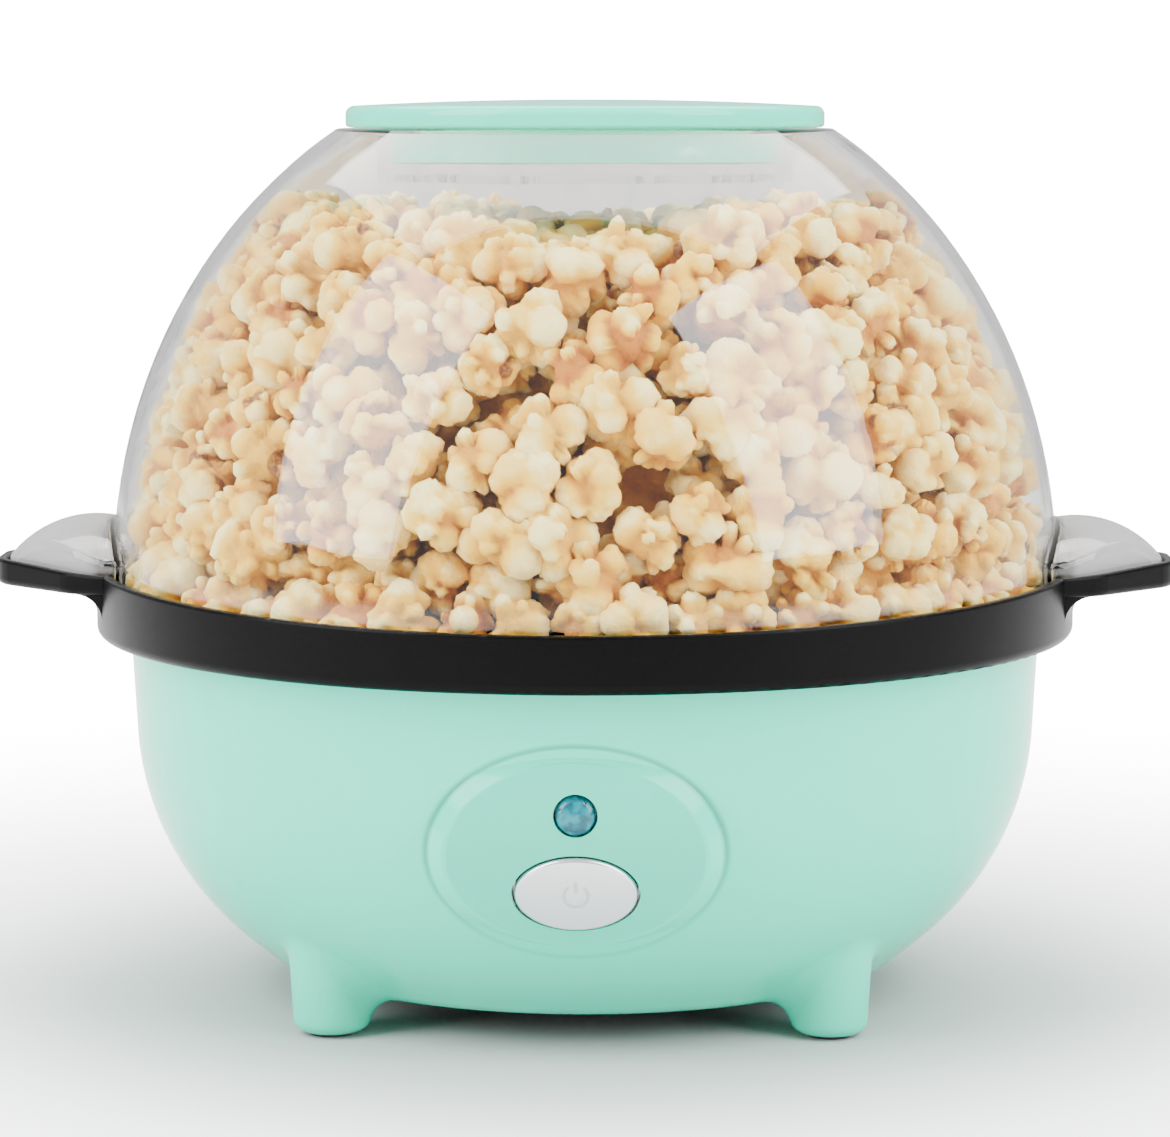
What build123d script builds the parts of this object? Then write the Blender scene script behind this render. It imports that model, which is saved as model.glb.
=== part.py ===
"""Stirring popcorn maker: a clear lift-off bowl over a heated pan, on a four-legged base.

Millimetres, +Z up. The origin is on the table, under the stirring axis. The control
panel faces -Y and the two carrying handles lie along X.
"""

from build123d import *
from math import acos, cos, degrees, pi, radians, sin, sqrt, tan
import os

os.makedirs("parts", exist_ok=True)

# ---------------------------------------------------------------- driving dimensions
# Overall
bowl_radius = 117.0          # outside of the clear bowl at its rim
bowl_height = 128.8          # from the bowl's widest level to the crown it would close at
body_top_z = 94.0            # top edge of the base housing, under the collar's web
body_bottom_z = 8.0          # underside of the base housing
rim_setback = 4.0            # bowl rim to base housing wall, in radius

# Base housing
housing_wall = 2.5
wall_draft = 3.2             # degrees of taper on the upper wall
straight_wall = 28.0         # height of the tapered upper wall
shoulder_angle = 50.0        # slope where the side curve meets the bottom corner
shoulder_rise = 8.4          # height of that point above the underside
corner_radius = 10.0
leg_offset = 10.8            # leg axis outside the flat underside
leg_foot_radius = 9.0
leg_top_radius = 10.8
leg_wall = 2.4
leg_blend = 7.0              # fillet between a leg and the bowl of the housing
leg_edge = 3.0               # rounding of a leg's foot
foot_stand = 0.8             # rubber foot showing below the leg
foot_depth = 1.6             # rubber foot let into the leg
foot_radius = 5.6
fit_gap = 0.2                # clearance between seated parts

# Collar with handles
collar_drop = 4.0            # skirt hanging below the web
collar_wall = 2.8
collar_web = 3.0             # thickness of the web the bowl stands on
web_width = 17.0             # web's reach inside the bowl's outer radius
collar_front_rise = 9.4      # collar edge above the web's underside, at the front
collar_side_rise = 3.2       # how much higher the edge is at the sides
rim_gap = 1.3                # bowl to collar, in radius
handle_reach = 25.0          # handle tip beyond the collar
handle_tip_half = 10.5
handle_tip_round = 13.0
handle_shoulder_reach = 4.5  # where the sides turn in towards the tip
handle_shoulder_half = 31.0
handle_shoulder_round = 12.0
handle_root_half = 35.5
handle_root_round = 16.0
handle_under_rise = 7.5      # handle's underside above the web's underside
handle_floor = 2.3
handle_rim = 2.5
handle_gusset = 6.0

# Clear bowl
bowl_wall = 2.2
bowl_level_rise = 10.0       # widest level above the web's underside
bowl_seat_radius = 60.0      # outer edge of the flat seat for the cap
well_radius = 49.3           # inside of the vent well
well_depth = 11.4
well_wall = 2.0
slot_count = 8
slot_radius = 38.0
slot_width = 7.5
slot_span = 30.0             # degrees between a slot's end centres
lug_gap = 0.7                # lug to handle tray, all round
lug_height = 13.8            # lug crown above the tray floor, at the bowl
lug_tip_height = 4.2         # the same at the lug's tip
lug_belly = 1.9              # how far the crown bulges above the straight line
lug_crown_radius = 66.0      # crown's curve across the lug
lug_wall = 2.2
lug_edge = 2.0
lug_blend = 2.0

# Measuring cap
cap_skirt_gap = 0.6
cap_skirt_depth = 8.5
cap_wall = 2.0
cap_flange_radius = 59.0
cap_flange = 5.2
cap_crown = 1.6

# Heated pan
pan_wall = 2.2
pan_flange_lap = 3.0         # flange under the web
pan_side_gap = 1.0
pan_side_run = 12.0          # how far the pan's side slopes inwards
pan_depth = 11.5             # from the flange's top face to the floor's edge
pan_floor_rise = 2.5         # floor is higher in the middle
pan_hub_radius = 9.0
pan_hub_rise = 3.2
pan_ear_radius = 4.4
pan_ear_reach = 2.2          # ear centre outside the flange edge
element_radius = 60.0
element_tube = 3.3
element_arc = 316.0          # degrees of the loop
element_pin_radius = 1.6
element_pin_length = 7.0
bush_wall = 1.3
shaft_radius = 3.0
shaft_clearance = 0.05

# Heat shield and stand-offs
shield_drop = 17.0           # shield floor under the pan floor's edge
shield_wall = 0.8
shield_inset = 2.5           # shield edge inside the pan floor's edge
shield_rim_height = 9.0
standoff_circle = 46.5
standoff_radius = 3.4
standoff_count = 3

# Gear motor
gear_module = 0.6
gear_width = 3.4
gear_layer_gap = 1.0
pinion_teeth_output = 12
wheel_teeth_output = 40
pinion_teeth_middle = 12
wheel_teeth_middle = 36
pinion_teeth_rotor = 10
wheel_teeth_rotor = 36
centre_slack = 0.06          # added to each gear centre distance
tooth_thinning = 0.80        # tooth width against half a pitch
middle_axle_bearing = 0.0    # degrees, from the output axis
rotor_stage_bearing = 100.0  # degrees, from the middle axle
rotor_bearing = 200.0        # degrees, from the rotor stage's axle
axle_radius = 0.8
motor_can_wall = 0.8
motor_plate = 1.2
motor_margin = 1.4           # gear tip to the inside of the can
rotor_radius = 8.8
rotor_height = 9.5
pole_gap = 0.5
pole_wall = 1.1
coil_inner_gap = 0.6
coil_thickness = 8.0
motor_ear_reach = 6.0
motor_ear_radius = 5.0

# Stirrer
rod_radius = 1.75
rod_floor_gap = 1.6          # wire above the pan floor
rod_side_gap = 5.0           # wire end inside the pan's side
rod_tip_rise = 6.0
rod_sweep = 9.0              # how far each arm trails to the side
hub_radius = 10.5
hub_height = 15.0
hub_round = 3.5
coupling_radius = 6.0
coupling_length = 10.0
rod_height = 9.5             # wire's centre above the hub's foot

# Control panel
panel_half_width = 33.8
panel_half_height = 25.4
panel_stand = 1.3            # face proud of the housing at its top
panel_lift = 1.7             # face profile raised, so that it runs out at the bottom
panel_bevel = 3.6            # width of the sloping edge
panel_offset_z = -1.2        # panel centre against the middle of the free wall
panel_gap = 0.5              # gap round the button and the lens
button_half_width = 14.1
button_half_height = 8.9
button_depth = 11.6          # face to the back of the retaining flange
button_flange = 1.5
button_flange_lap = 1.4      # flange wider than the hole
button_edge = 1.0
button_drop = 9.0            # button centre below the panel centre
button_proud = 1.3
button_face_radius = 62.0
button_face_tilt = 22.0      # degrees the button face leans down
button_travel = 3.0
button_stem_radius = 2.6
spring_room = 6.42           # from the button's back to the bracket
spring_wire = 0.4
spring_turns = 3.5
bracket_post_gap = 6.4       # bracket post's axis outside the button's hole
bracket_post_rise = 8.0      # bracket posts above the button's middle
lens_radius = 4.5
lens_rise = 9.8              # lens centre above the panel centre
lens_proud = 0.7
lens_flange = 1.4

# Cord inlet, at the back
inlet_z = 45.0
inlet_boss_radius = 9.0
inlet_boss_stand = 3.0
inlet_boss_depth = 11.0
gland_neck_radius = 5.4
gland_flange_radius = 7.6
gland_flange = 2.0
gland_bore_radius = 3.4

# Underside cover and fasteners
cover_inset = 11.0           # cover edge inside the flat underside
cover_wall = 2.3
cover_ledge = 10.0
cover_vents = 10
screw_radius = 1.5
screw_head_radius = 2.9
screw_head = 1.8
screw_boss_radius = 3.6
screw_clearance = 0.08
fixing_count = 4
tab_radius = 6.0
tab_wall = 2.6

# ---------------------------------------------------------------- derived levels and radii
collar_inner = bowl_radius + rim_gap
collar_outer = collar_inner + collar_wall
web_inner = bowl_radius - web_width
collar_bottom_z = body_top_z - collar_drop
collar_front_z = body_top_z + collar_front_rise
body_top_radius = bowl_radius - rim_setback
bowl_seat_z = body_top_z + collar_web
bowl_rim_z = bowl_seat_z + fit_gap
bowl_level_z = body_top_z + bowl_level_rise
tray_outer = collar_outer + handle_reach
tray_under_z = body_top_z + handle_under_rise
tray_floor_z = tray_under_z + handle_floor

pan_flange_z = body_top_z                       # flange's top face, against the web
pan_flange_radius = web_inner + pan_flange_lap
pan_rim_radius = web_inner - pan_side_gap       # inside of the dish at the flange
pan_floor_radius = pan_rim_radius - pan_side_run
pan_floor_z = pan_flange_z - pan_depth
pan_middle_z = pan_floor_z + pan_floor_rise
hub_seat_z = pan_middle_z + pan_hub_rise

shield_z = pan_floor_z - pan_wall - shield_drop
motor_top_z = shield_z                          # cover plate hangs under the shield

SLIVER = 0.05                                   # overlap that makes a clean union


def write(name, shape):
    """Writes one sub-part, with its node's name."""
    export_step(shape, f"parts/{name}.step")


def polar(radius, bearing):
    """A point in plan, from a radius and a bearing in degrees."""
    return radius * cos(radians(bearing)), radius * sin(radians(bearing))


def plan_ring(inner, outer, low, high):
    """A flat ring between two levels."""
    ring = Pos(0, 0, low) * Cylinder(outer, high - low, align=(Align.CENTER, Align.CENTER, Align.MIN))
    if inner:
        ring -= Pos(0, 0, low) * Cylinder(inner, high - low, align=(Align.CENTER, Align.CENTER, Align.MIN))
    return ring


def post(x, y, low, high, radius, top_radius=None):
    """An upright cylinder, or a cone where the top radius differs."""
    base = (Align.CENTER, Align.CENTER, Align.MIN)
    if top_radius is None or abs(top_radius - radius) < 1e-9:
        return Pos(x, y, low) * Cylinder(radius, high - low, align=base)
    return Pos(x, y, low) * Cone(radius, top_radius, high - low, align=base)


def turned(points):
    """A solid turned about the Z axis, from (radius, z) corners."""
    return revolve(Plane.XZ * make_face(Polyline(*points, close=True)), axis=Axis.Z)


# ---------------------------------------------------------------- housing outline
class BowlOutline:
    """The housing's side view: tapered wall, large side curve, slope and small corner."""

    def __init__(self, inset=0.0, top_z=body_top_z, lift=0.0):
        """inset moves the outline inwards; lift raises it."""
        wall_run = straight_wall * tan(radians(wall_draft))
        curve_z = body_top_z - straight_wall
        shoulder_z = body_bottom_z + shoulder_rise
        start, end = radians(wall_draft), radians(shoulder_angle)
        side = (curve_z - shoulder_z) / (sin(end) - sin(start))
        self.side_centre = (
            body_top_radius - wall_run - side * cos(start),
            curve_z + side * sin(start) + lift,
        )
        self.side_radius = side - inset
        corner_z = body_bottom_z + corner_radius + lift
        shoulder = self.on_side(end, side)
        corner_start_z = corner_z - corner_radius * sin(end)
        slope_run = (shoulder[1] - corner_start_z) * tan(end)
        self.corner_centre = (shoulder[0] - slope_run - corner_radius * cos(end), corner_z)
        self.corner_radius = corner_radius - inset
        self.flat_radius = self.corner_centre[0]
        self.bottom_z = body_bottom_z + inset + lift
        self.top_z = top_z
        self.start, self.end = start, end

    def on_side(self, angle, radius=None):
        """A point of the side curve, at an angle below the horizontal."""
        r = self.side_radius if radius is None else radius
        return self.side_centre[0] + r * cos(angle), self.side_centre[1] - r * sin(angle)

    def on_corner(self, angle):
        """A point of the corner curve, at an angle below the horizontal."""
        r = self.corner_radius
        return self.corner_centre[0] + r * cos(angle), self.corner_centre[1] - r * sin(angle)

    def radius_at(self, z):
        """Outside radius at a level."""
        below = (self.side_centre[1] - z) / self.side_radius
        if below < sin(self.start):
            first = self.on_side(self.start)
            return first[0] + (z - first[1]) * tan(self.start)
        if below < sin(self.end):
            return self.side_centre[0] + self.side_radius * sqrt(1 - below * below)
        shoulder = self.on_side(self.end)
        return shoulder[0] - (shoulder[1] - z) * tan(self.end)

    def face(self):
        """The half section, from the axis to the outline."""
        middle = (self.start + self.end) / 2
        last = (self.end + pi / 2) / 2
        top = (self.radius_at(self.top_z), self.top_z)
        side_end, corner_end = self.on_side(self.end), self.on_corner(pi / 2)
        lines = (
            Line((0, self.top_z), top)
            + Line(top, self.on_side(self.start))
            + ThreePointArc(self.on_side(self.start), self.on_side(middle), side_end)
            + Line(side_end, self.on_corner(self.end))
            + ThreePointArc(self.on_corner(self.end), self.on_corner(last), corner_end)
            + Line(corner_end, (0, self.bottom_z))
            + Line((0, self.bottom_z), (0, self.top_z))
        )
        return Plane.XZ * make_face(lines)


outside = BowlOutline()
panel_outline = BowlOutline(lift=panel_lift)
leg_circle = outside.flat_radius + leg_offset
cover_radius = outside.flat_radius - cover_inset
cover_top_z = body_bottom_z + housing_wall
cover_screw_circle = cover_radius - screw_boss_radius - 0.6
panel_z = (collar_bottom_z + body_bottom_z + shoulder_rise) / 2 + panel_offset_z
button_z = panel_z - button_drop
lens_z = panel_z + lens_rise
leg_bearings = [45 + 90 * i for i in range(4)]
fixing_bearings = [90 * i for i in range(fixing_count)]
ear_bearings = [45 + 90 * i for i in range(fixing_count)]
fixing_circle = outside.radius_at(body_top_z) - housing_wall - tab_radius + 1.0
ear_circle = pan_flange_radius + pan_ear_reach

pilot_radius = screw_radius + screw_clearance
passing_radius = screw_radius + 2.5 * screw_clearance
bush_outer = shaft_radius + bush_wall
tab_top_z = body_top_z - 7.0
inlet_y = outside.radius_at(inlet_z)
bowl_top_z = bowl_level_z + bowl_height * sqrt(1 - (bowl_seat_radius + 1.0) ** 2 / bowl_radius ** 2)
hub_low_z = hub_seat_z + 0.9
coupling_z = motor_top_z + 3.0
standoff_bearings = [90 + 120 * i for i in range(standoff_count)]
standoff_points = [polar(standoff_circle, b) for b in standoff_bearings]
bracket_post_x = button_half_width + panel_gap + bracket_post_gap
bracket_post_z = button_z + bracket_post_rise


def panel_face_y(z):
    """How far the control panel's face stands from the axis, at a level."""
    return panel_outline.radius_at(z) + panel_stand


button_back_y = -panel_face_y(button_z) - button_proud + button_depth
bracket_y = button_back_y + spring_room
output_axle = (0.0, 0.0)


def next_axle(start, teeth_a, teeth_b, bearing):
    """The next axle's place, one gear pair away."""
    dx, dy = polar(gear_module * (teeth_a + teeth_b) / 2 + centre_slack, bearing)
    return start[0] + dx, start[1] + dy


middle_axle = next_axle(output_axle, wheel_teeth_output, pinion_teeth_output, middle_axle_bearing)
stage_axle = next_axle(middle_axle, wheel_teeth_middle, pinion_teeth_middle, rotor_stage_bearing)
rotor_axle = next_axle(stage_axle, wheel_teeth_rotor, pinion_teeth_rotor, rotor_bearing)
gear_stack = 3 * (gear_width + gear_layer_gap) + gear_layer_gap
middle_plate_z = motor_top_z - motor_plate - gear_stack - motor_plate
motor_bottom_z = middle_plate_z - gear_layer_gap - rotor_height - gear_layer_gap - motor_can_wall
far_gear = gear_module * (wheel_teeth_middle / 2 + 1)
can_radius = (sqrt((middle_axle[0] - rotor_axle[0]) ** 2 + (middle_axle[1] - rotor_axle[1]) ** 2)
              + far_gear + motor_margin + motor_can_wall)


# ---------------------------------------------------------------- base housing
def side_view_block(inset):
    """The control panel's face as a block: the housing's side view, flat across X."""
    section = BowlOutline(inset=inset, lift=panel_lift).face()
    section = section.rotate(Axis.Z, -90).moved(Location((0, -panel_stand, 0)))
    return extrude(section, amount=panel_half_width * 1.5, both=True, dir=(1, 0, 0))


def plug_along_y(x, z, radius_x, radius_z, low_y, high_y):
    """A round or oval plug along Y."""
    plane = Plane(origin=(x, low_y, z), x_dir=(-1, 0, 0), z_dir=(0, 1, 0))
    outline = Circle(radius_x) if radius_x == radius_z else Ellipse(radius_x, radius_z)
    return extrude(plane * outline, amount=high_y - low_y)


def control_boss():
    """The raised oval of the control panel, with a sloping edge."""
    prism = plug_along_y(0, panel_z, panel_half_width, panel_half_height, -body_top_radius - 8, -60)
    boss = side_view_block(0) & prism
    rim = boss.edges().filter_by(lambda e: e.center().Y < -85)
    return chamfer(rim, panel_bevel)


def control_hollow():
    """The hollow behind the control panel's face."""
    inset = panel_bevel + 1.0
    prism = plug_along_y(0, panel_z, panel_half_width - inset, panel_half_height - inset,
                         -body_top_radius - 8, -60)
    return side_view_block(housing_wall) & prism


def leg_at(bearing):
    """One tapered leg, running up inside the housing's wall."""
    x, y = polar(leg_circle, bearing)
    return post(x, y, foot_stand, body_bottom_z + 24, leg_foot_radius, leg_top_radius)


def leg_hollow_at(bearing):
    """The hollow inside one leg."""
    x, y = polar(leg_circle, bearing)
    floor_z = foot_stand + foot_depth + leg_wall
    return post(x, y, floor_z, body_bottom_z + 30, leg_foot_radius - leg_wall, leg_top_radius - leg_wall)


def bowl_with_legs():
    """The outside of the housing and its four legs, blended together."""
    body = revolve(outside.face(), axis=Axis.Z)
    legs = [leg_at(b) for b in leg_bearings]
    shell = body
    for leg in legs:
        shell += leg
    shell = fillet(new_edges(body, *legs, combined=shell), leg_blend)
    soles = shell.edges().filter_by(lambda e: e.bounding_box().max.Z < foot_stand + 0.1)
    return fillet(soles, leg_edge)


def housing_hollow():
    """Everything taken out of the housing's inside."""
    inner = BowlOutline(inset=housing_wall, top_z=body_top_z + 1)
    hollow = revolve(inner.face(), axis=Axis.Z)
    for bearing in leg_bearings:
        hollow += leg_hollow_at(bearing)
    hollow += control_hollow()
    ledge_inner = cover_radius + fit_gap - cover_ledge
    hollow -= plan_ring(ledge_inner, cover_radius + fit_gap + housing_wall,
                        body_bottom_z, cover_top_z + housing_wall)
    return hollow


def base_housing():
    """The moulded base: bowl, four legs, control panel, cord boss and fixing tabs."""
    outer = bowl_with_legs()
    shell = outer + control_boss() - housing_hollow()
    inlet_start, inlet_end = inlet_y - inlet_boss_depth, inlet_y + inlet_boss_stand
    shell += plug_along_y(0, inlet_z, inlet_boss_radius, inlet_boss_radius, inlet_start, inlet_end)
    shell -= plan_ring(0, cover_radius + fit_gap, body_bottom_z - 1, cover_top_z)
    for bearing in leg_bearings:
        x, y = polar(leg_circle, bearing)
        shell -= post(x, y, 0, foot_stand + foot_depth, foot_radius + fit_gap / 2)
    for bearing in ear_bearings:
        x, y = polar(cover_screw_circle, bearing)
        shell += post(x, y, cover_top_z + SLIVER, cover_top_z + 12, screw_boss_radius)
        shell -= post(x, y, cover_top_z - 1, cover_top_z + 10, pilot_radius)
    for bearing in fixing_bearings:
        x, y = polar(fixing_circle, bearing)
        tab = post(x, y, tab_top_z - tab_wall, tab_top_z, tab_radius)
        shell += tab & outer
        shell -= post(x, y, tab_top_z - tab_wall - 1, tab_top_z + 1, passing_radius)
    for side in (-1, 1):
        x = side * bracket_post_x
        shell += plug_along_y(x, bracket_post_z, screw_boss_radius, screw_boss_radius,
                              -panel_face_y(bracket_post_z) + 1.5, bracket_y)
        shell -= plug_along_y(x, bracket_post_z, pilot_radius, pilot_radius, bracket_y - 8, bracket_y + 1)
    shell -= plug_along_y(0, button_z, button_half_width + panel_gap, button_half_height + panel_gap,
                          -body_top_radius - 8, bracket_y - 1)
    shell -= plug_along_y(0, lens_z, lens_radius + panel_gap, lens_radius + panel_gap,
                          -body_top_radius - 8, bracket_y - 1)
    hole = gland_neck_radius + fit_gap / 2
    shell -= plug_along_y(0, inlet_z, hole, hole, inlet_start - 1, inlet_end + 1)
    return shell


# ---------------------------------------------------------------- collar and handles
def mitred(corners, inset):
    """The corners of a polygon moved inwards, with sharp corners; listed anticlockwise."""
    moved = []
    for i, (x, y) in enumerate(corners):
        before, after = corners[i - 1], corners[(i + 1) % len(corners)]
        a, b = (x - before[0], y - before[1]), (after[0] - x, after[1] - y)
        la, lb = sqrt(a[0] ** 2 + a[1] ** 2), sqrt(b[0] ** 2 + b[1] ** 2)
        na, nb = (-a[1] / la, a[0] / la), (-b[1] / lb, b[0] / lb)
        share = inset / (1 + na[0] * nb[0] + na[1] * nb[1])
        moved.append((x + (na[0] + nb[0]) * share, y + (na[1] + nb[1]) * share))
    return moved


def handle_plan(inset=0.0):
    """The outline of the handle on +X, in plan, running in under the collar."""
    shoulder_x = collar_outer + handle_shoulder_reach
    root_x = sqrt(collar_outer ** 2 - handle_root_half ** 2)
    half = [
        (web_inner - 20, -handle_root_half),
        (root_x, -handle_root_half),
        (shoulder_x, -handle_shoulder_half),
        (tray_outer, -handle_tip_half),
    ]
    corners = mitred(half + [(x, -y) for x, y in reversed(half)], inset)
    rounds = [0, handle_root_round, handle_shoulder_round, handle_tip_round]
    rounds = [max(r - inset, 0) for r in rounds]
    face = make_face(Polyline(*corners, close=True))
    for (x, y), r in zip(corners, rounds + rounds[::-1]):
        if r:
            corner = face.vertices().sort_by_distance((x, y, 0))[0]
            face = fillet(corner, r)
    return face


def both_sides(shape):
    """The shape on +X and its twin on -X."""
    return [shape, shape.rotate(Axis.Z, 180)]


def saddle_height(x):
    """Height of the collar's top edge, which rises from front to sides."""
    sweep_radius = (collar_outer ** 2 + collar_side_rise ** 2) / (2 * collar_side_rise)
    return collar_front_z + sweep_radius - sqrt(sweep_radius ** 2 - x ** 2)


def saddle_block():
    """Everything under the collar's top edge."""
    reach = tray_outer + 10
    side_z = saddle_height(reach)
    low = collar_bottom_z - 10
    lines = (
        ThreePointArc((-reach, side_z), (0, collar_front_z), (reach, side_z))
        + Polyline((reach, side_z), (reach, low), (-reach, low), (-reach, side_z))
    )
    return extrude(Plane.XZ * make_face(lines), amount=reach, both=True)


def handle_body():
    """One handle's solid, before the tray is hollowed out of it."""
    body = extrude(Pos(0, 0, tray_under_z) * handle_plan(), amount=20)
    body = fillet(body.edges().group_by(Axis.Z)[0], 1.6)
    corner = (
        Line((collar_outer - 1, tray_under_z + 1), (collar_outer + handle_gusset, tray_under_z + 1))
        + Line((collar_outer + handle_gusset, tray_under_z + 1), (collar_outer + handle_gusset, tray_under_z))
        + CenterArc((collar_outer + handle_gusset, tray_under_z - handle_gusset), handle_gusset, 90, 90)
        + Line((collar_outer, tray_under_z - handle_gusset), (collar_outer - 1, tray_under_z - handle_gusset))
        + Line((collar_outer - 1, tray_under_z - handle_gusset), (collar_outer - 1, tray_under_z + 1))
    )
    gusset = revolve(Plane.XZ * make_face(corner), axis=Axis.Z)
    wedge = extrude(Pos(0, 0, collar_bottom_z) * handle_plan(inset=1.6), amount=20)
    body += gusset & wedge
    return body - post(0, 0, 0, 200, collar_inner + 0.5)


def base_ring():
    """The black collar: skirt, web, two tray handles and the fixing bosses."""
    ring = plan_ring(collar_inner, collar_outer, collar_bottom_z, collar_front_z + 20)
    ring = fillet(ring.edges().group_by(Axis.Z)[0].sort_by(SortBy.LENGTH)[-1], 2.4)
    for handle in both_sides(handle_body()):
        ring += handle
    pocket = extrude(Pos(0, 0, tray_floor_z) * handle_plan(inset=handle_rim), amount=40)
    pocket -= post(0, 0, 0, 300, collar_inner - 4)
    ring &= saddle_block()
    for hollow in both_sides(pocket):
        ring -= hollow
    top = ring.edges().filter_by(
        lambda e: all(abs(v.Z - saddle_height(v.X)) < 0.02 for v in e.vertices()))
    ring = fillet(top, 0.7)
    ring += plan_ring(web_inner, collar_inner + 1, body_top_z, bowl_seat_z)
    for bearing in fixing_bearings:
        x, y = polar(fixing_circle, bearing)
        ring += post(x, y, tab_top_z, body_top_z + SLIVER, screw_boss_radius)
        ring -= post(x, y, tab_top_z - 1, bowl_seat_z - 1, pilot_radius)
    for bearing in ear_bearings:
        x, y = polar(ear_circle, bearing)
        ring -= post(x, y, body_top_z - 1, bowl_seat_z - 0.4, pilot_radius)
    return ring


# ---------------------------------------------------------------- clear bowl and cap
def ellipse_body(radius, height, low, top):
    """The space under an elliptical crown, down to a level below the bowl's rim."""
    last = acos(sqrt(1 - ((top - bowl_level_z) / height) ** 2))
    angles = [last * i / 8 for i in range(9)]
    points = [(radius * cos(a), bowl_level_z + height * sin(a)) for a in angles]
    crown = Spline(*points, tangents=[(0, 1), (-radius * sin(last), height * cos(last))])
    lines = (
        Polyline((points[-1]), (0, top), (0, low), (radius, low), points[0]) + crown
    )
    return revolve(Plane.XZ * make_face(lines), axis=Axis.Z)


def lug_solid(drop, inset, low):
    """One lug's outside or its hollow: a crowned block over the tray."""
    top = tray_floor_z + lug_height - drop
    tip = tray_floor_z + lug_tip_height - drop
    tip_x = tray_outer - handle_rim - lug_gap - inset + 0.5
    start_x = bowl_radius + 1.0
    axis_z = top - lug_crown_radius + drop
    middle = ((start_x + tip_x) / 2 + 2.5, (top + tip) / 2 + lug_belly + 1.2)
    lines = (
        Polyline((90, axis_z), (90, top + 1.2), (start_x, top))
        + ThreePointArc((start_x, top), middle, (tip_x, tip))
        + Polyline((tip_x, tip), (tip_x, axis_z), (90, axis_z))
    )
    axis = Axis((0, 0, axis_z), (1, 0, 0))
    crown = revolve(Plane.XZ * make_face(lines), axis=axis)
    plan = handle_plan(inset=handle_rim + lug_gap + inset)
    return crown & extrude(Pos(0, 0, low) * plan, amount=60)


def clear_bowl():
    """The clear bowl: crown, cap seat, slotted vent well and two hollow lugs."""
    outer = ellipse_body(bowl_radius, bowl_height, bowl_rim_z, bowl_top_z)
    rim = outer.edges().filter_by(lambda e: abs(e.center().Z - bowl_top_z) < 0.01)
    outer = fillet(rim, 2.0)
    inner = ellipse_body(bowl_radius - bowl_wall, bowl_height - bowl_wall,
                         bowl_rim_z - 2, bowl_top_z - bowl_wall)
    lug_low = tray_floor_z + lug_gap
    lug = lug_solid(0, 0, lug_low)
    crest = lug.edges().filter_by(lambda e: e.bounding_box().min.Z > lug_low + 1 and e.center().X > 95)
    crest = crest.filter_by(lambda e: abs((e % 0.5).Z) < 0.9)
    lug = fillet(crest, lug_edge)
    hollow = lug_solid(lug_wall, lug_wall, lug_low - 5) - outer
    bowl = outer
    for one in both_sides(lug):
        bowl += one
    seam = new_edges(outer, *both_sides(lug), combined=bowl).filter_by(
        lambda e: e.center().Z > lug_low + 0.5)
    bowl = fillet(seam, lug_blend)
    for one in both_sides(hollow):
        bowl -= one
    bowl -= inner
    well_floor = bowl_top_z - well_depth
    bowl += post(0, 0, well_floor - well_wall, bowl_top_z - 1, well_radius + well_wall)
    bowl -= post(0, 0, well_floor, bowl_top_z + 5, well_radius)
    return bowl - vent_slots(well_floor)


def vent_slots(well_floor):
    """The arc slots through the well's floor."""
    step = 360 / slot_count
    inner, outer = slot_radius - slot_width / 2, slot_radius + slot_width / 2
    low, high = well_floor - well_wall - 1, well_floor + 1
    cutters = None
    for i in range(slot_count):
        start = i * step - slot_span / 2
        wedge = make_face(
            Line((0, 0), polar(90, start))
            + Line(polar(90, start), polar(90, start + slot_span))
            + Line(polar(90, start + slot_span), (0, 0))
        )
        cut = plan_ring(inner, outer, low, high) & extrude(Pos(0, 0, low - 1) * wedge, amount=20)
        for end in (start, start + slot_span):
            x, y = polar(slot_radius, end)
            cut += post(x, y, low, high, slot_width / 2)
        cutters = cut if cutters is None else cutters + cut
    return cutters


def measuring_cap():
    """The lift-off cap that closes the well and doubles as a measure."""
    low = bowl_top_z + fit_gap
    flange_top = low + cap_flange
    crown_top = flange_top + cap_crown
    skirt_outer = well_radius - cap_skirt_gap
    skirt_inner = skirt_outer - cap_wall
    skirt_low = low - cap_skirt_depth
    lines = (
        Polyline((0, flange_top - cap_wall), (skirt_inner, flange_top - cap_wall), (skirt_inner, skirt_low),
                 (skirt_outer, skirt_low), (skirt_outer, low), (cap_flange_radius, low),
                 (cap_flange_radius, flange_top))
        + ThreePointArc((cap_flange_radius, flange_top),
                        (cap_flange_radius / 2, flange_top + cap_crown * 0.78), (0, crown_top))
        + Line((0, crown_top), (0, flange_top - cap_wall))
    )
    cap = revolve(Plane.XZ * make_face(lines), axis=Axis.Z)
    edge = cap.edges().filter_by(lambda e: abs(e.radius - cap_flange_radius) < 0.01
                                 if e.geom_type == GeomType.CIRCLE else False)
    cap = fillet(edge.sort_by(Axis.Z)[-1], 2.2)
    lower = cap.edges().filter_by(lambda e: abs(e.center().Z - low) < 0.01 and e.length > 6 * 58)
    cap = fillet(lower, 1.0)
    inside = cap.edges().filter_by(lambda e: abs(e.center().Z - flange_top + cap_wall) < 0.01 and e.length > 9)
    cap = fillet(inside, 2.5)
    return cap


# ---------------------------------------------------------------- pan, element, shield
def pan_surface(radius):
    """Height of the pan floor's upper face, at a radius."""
    share = (pan_floor_radius - radius) / (pan_floor_radius - pan_hub_radius)
    return pan_floor_z + pan_floor_rise * share


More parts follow.
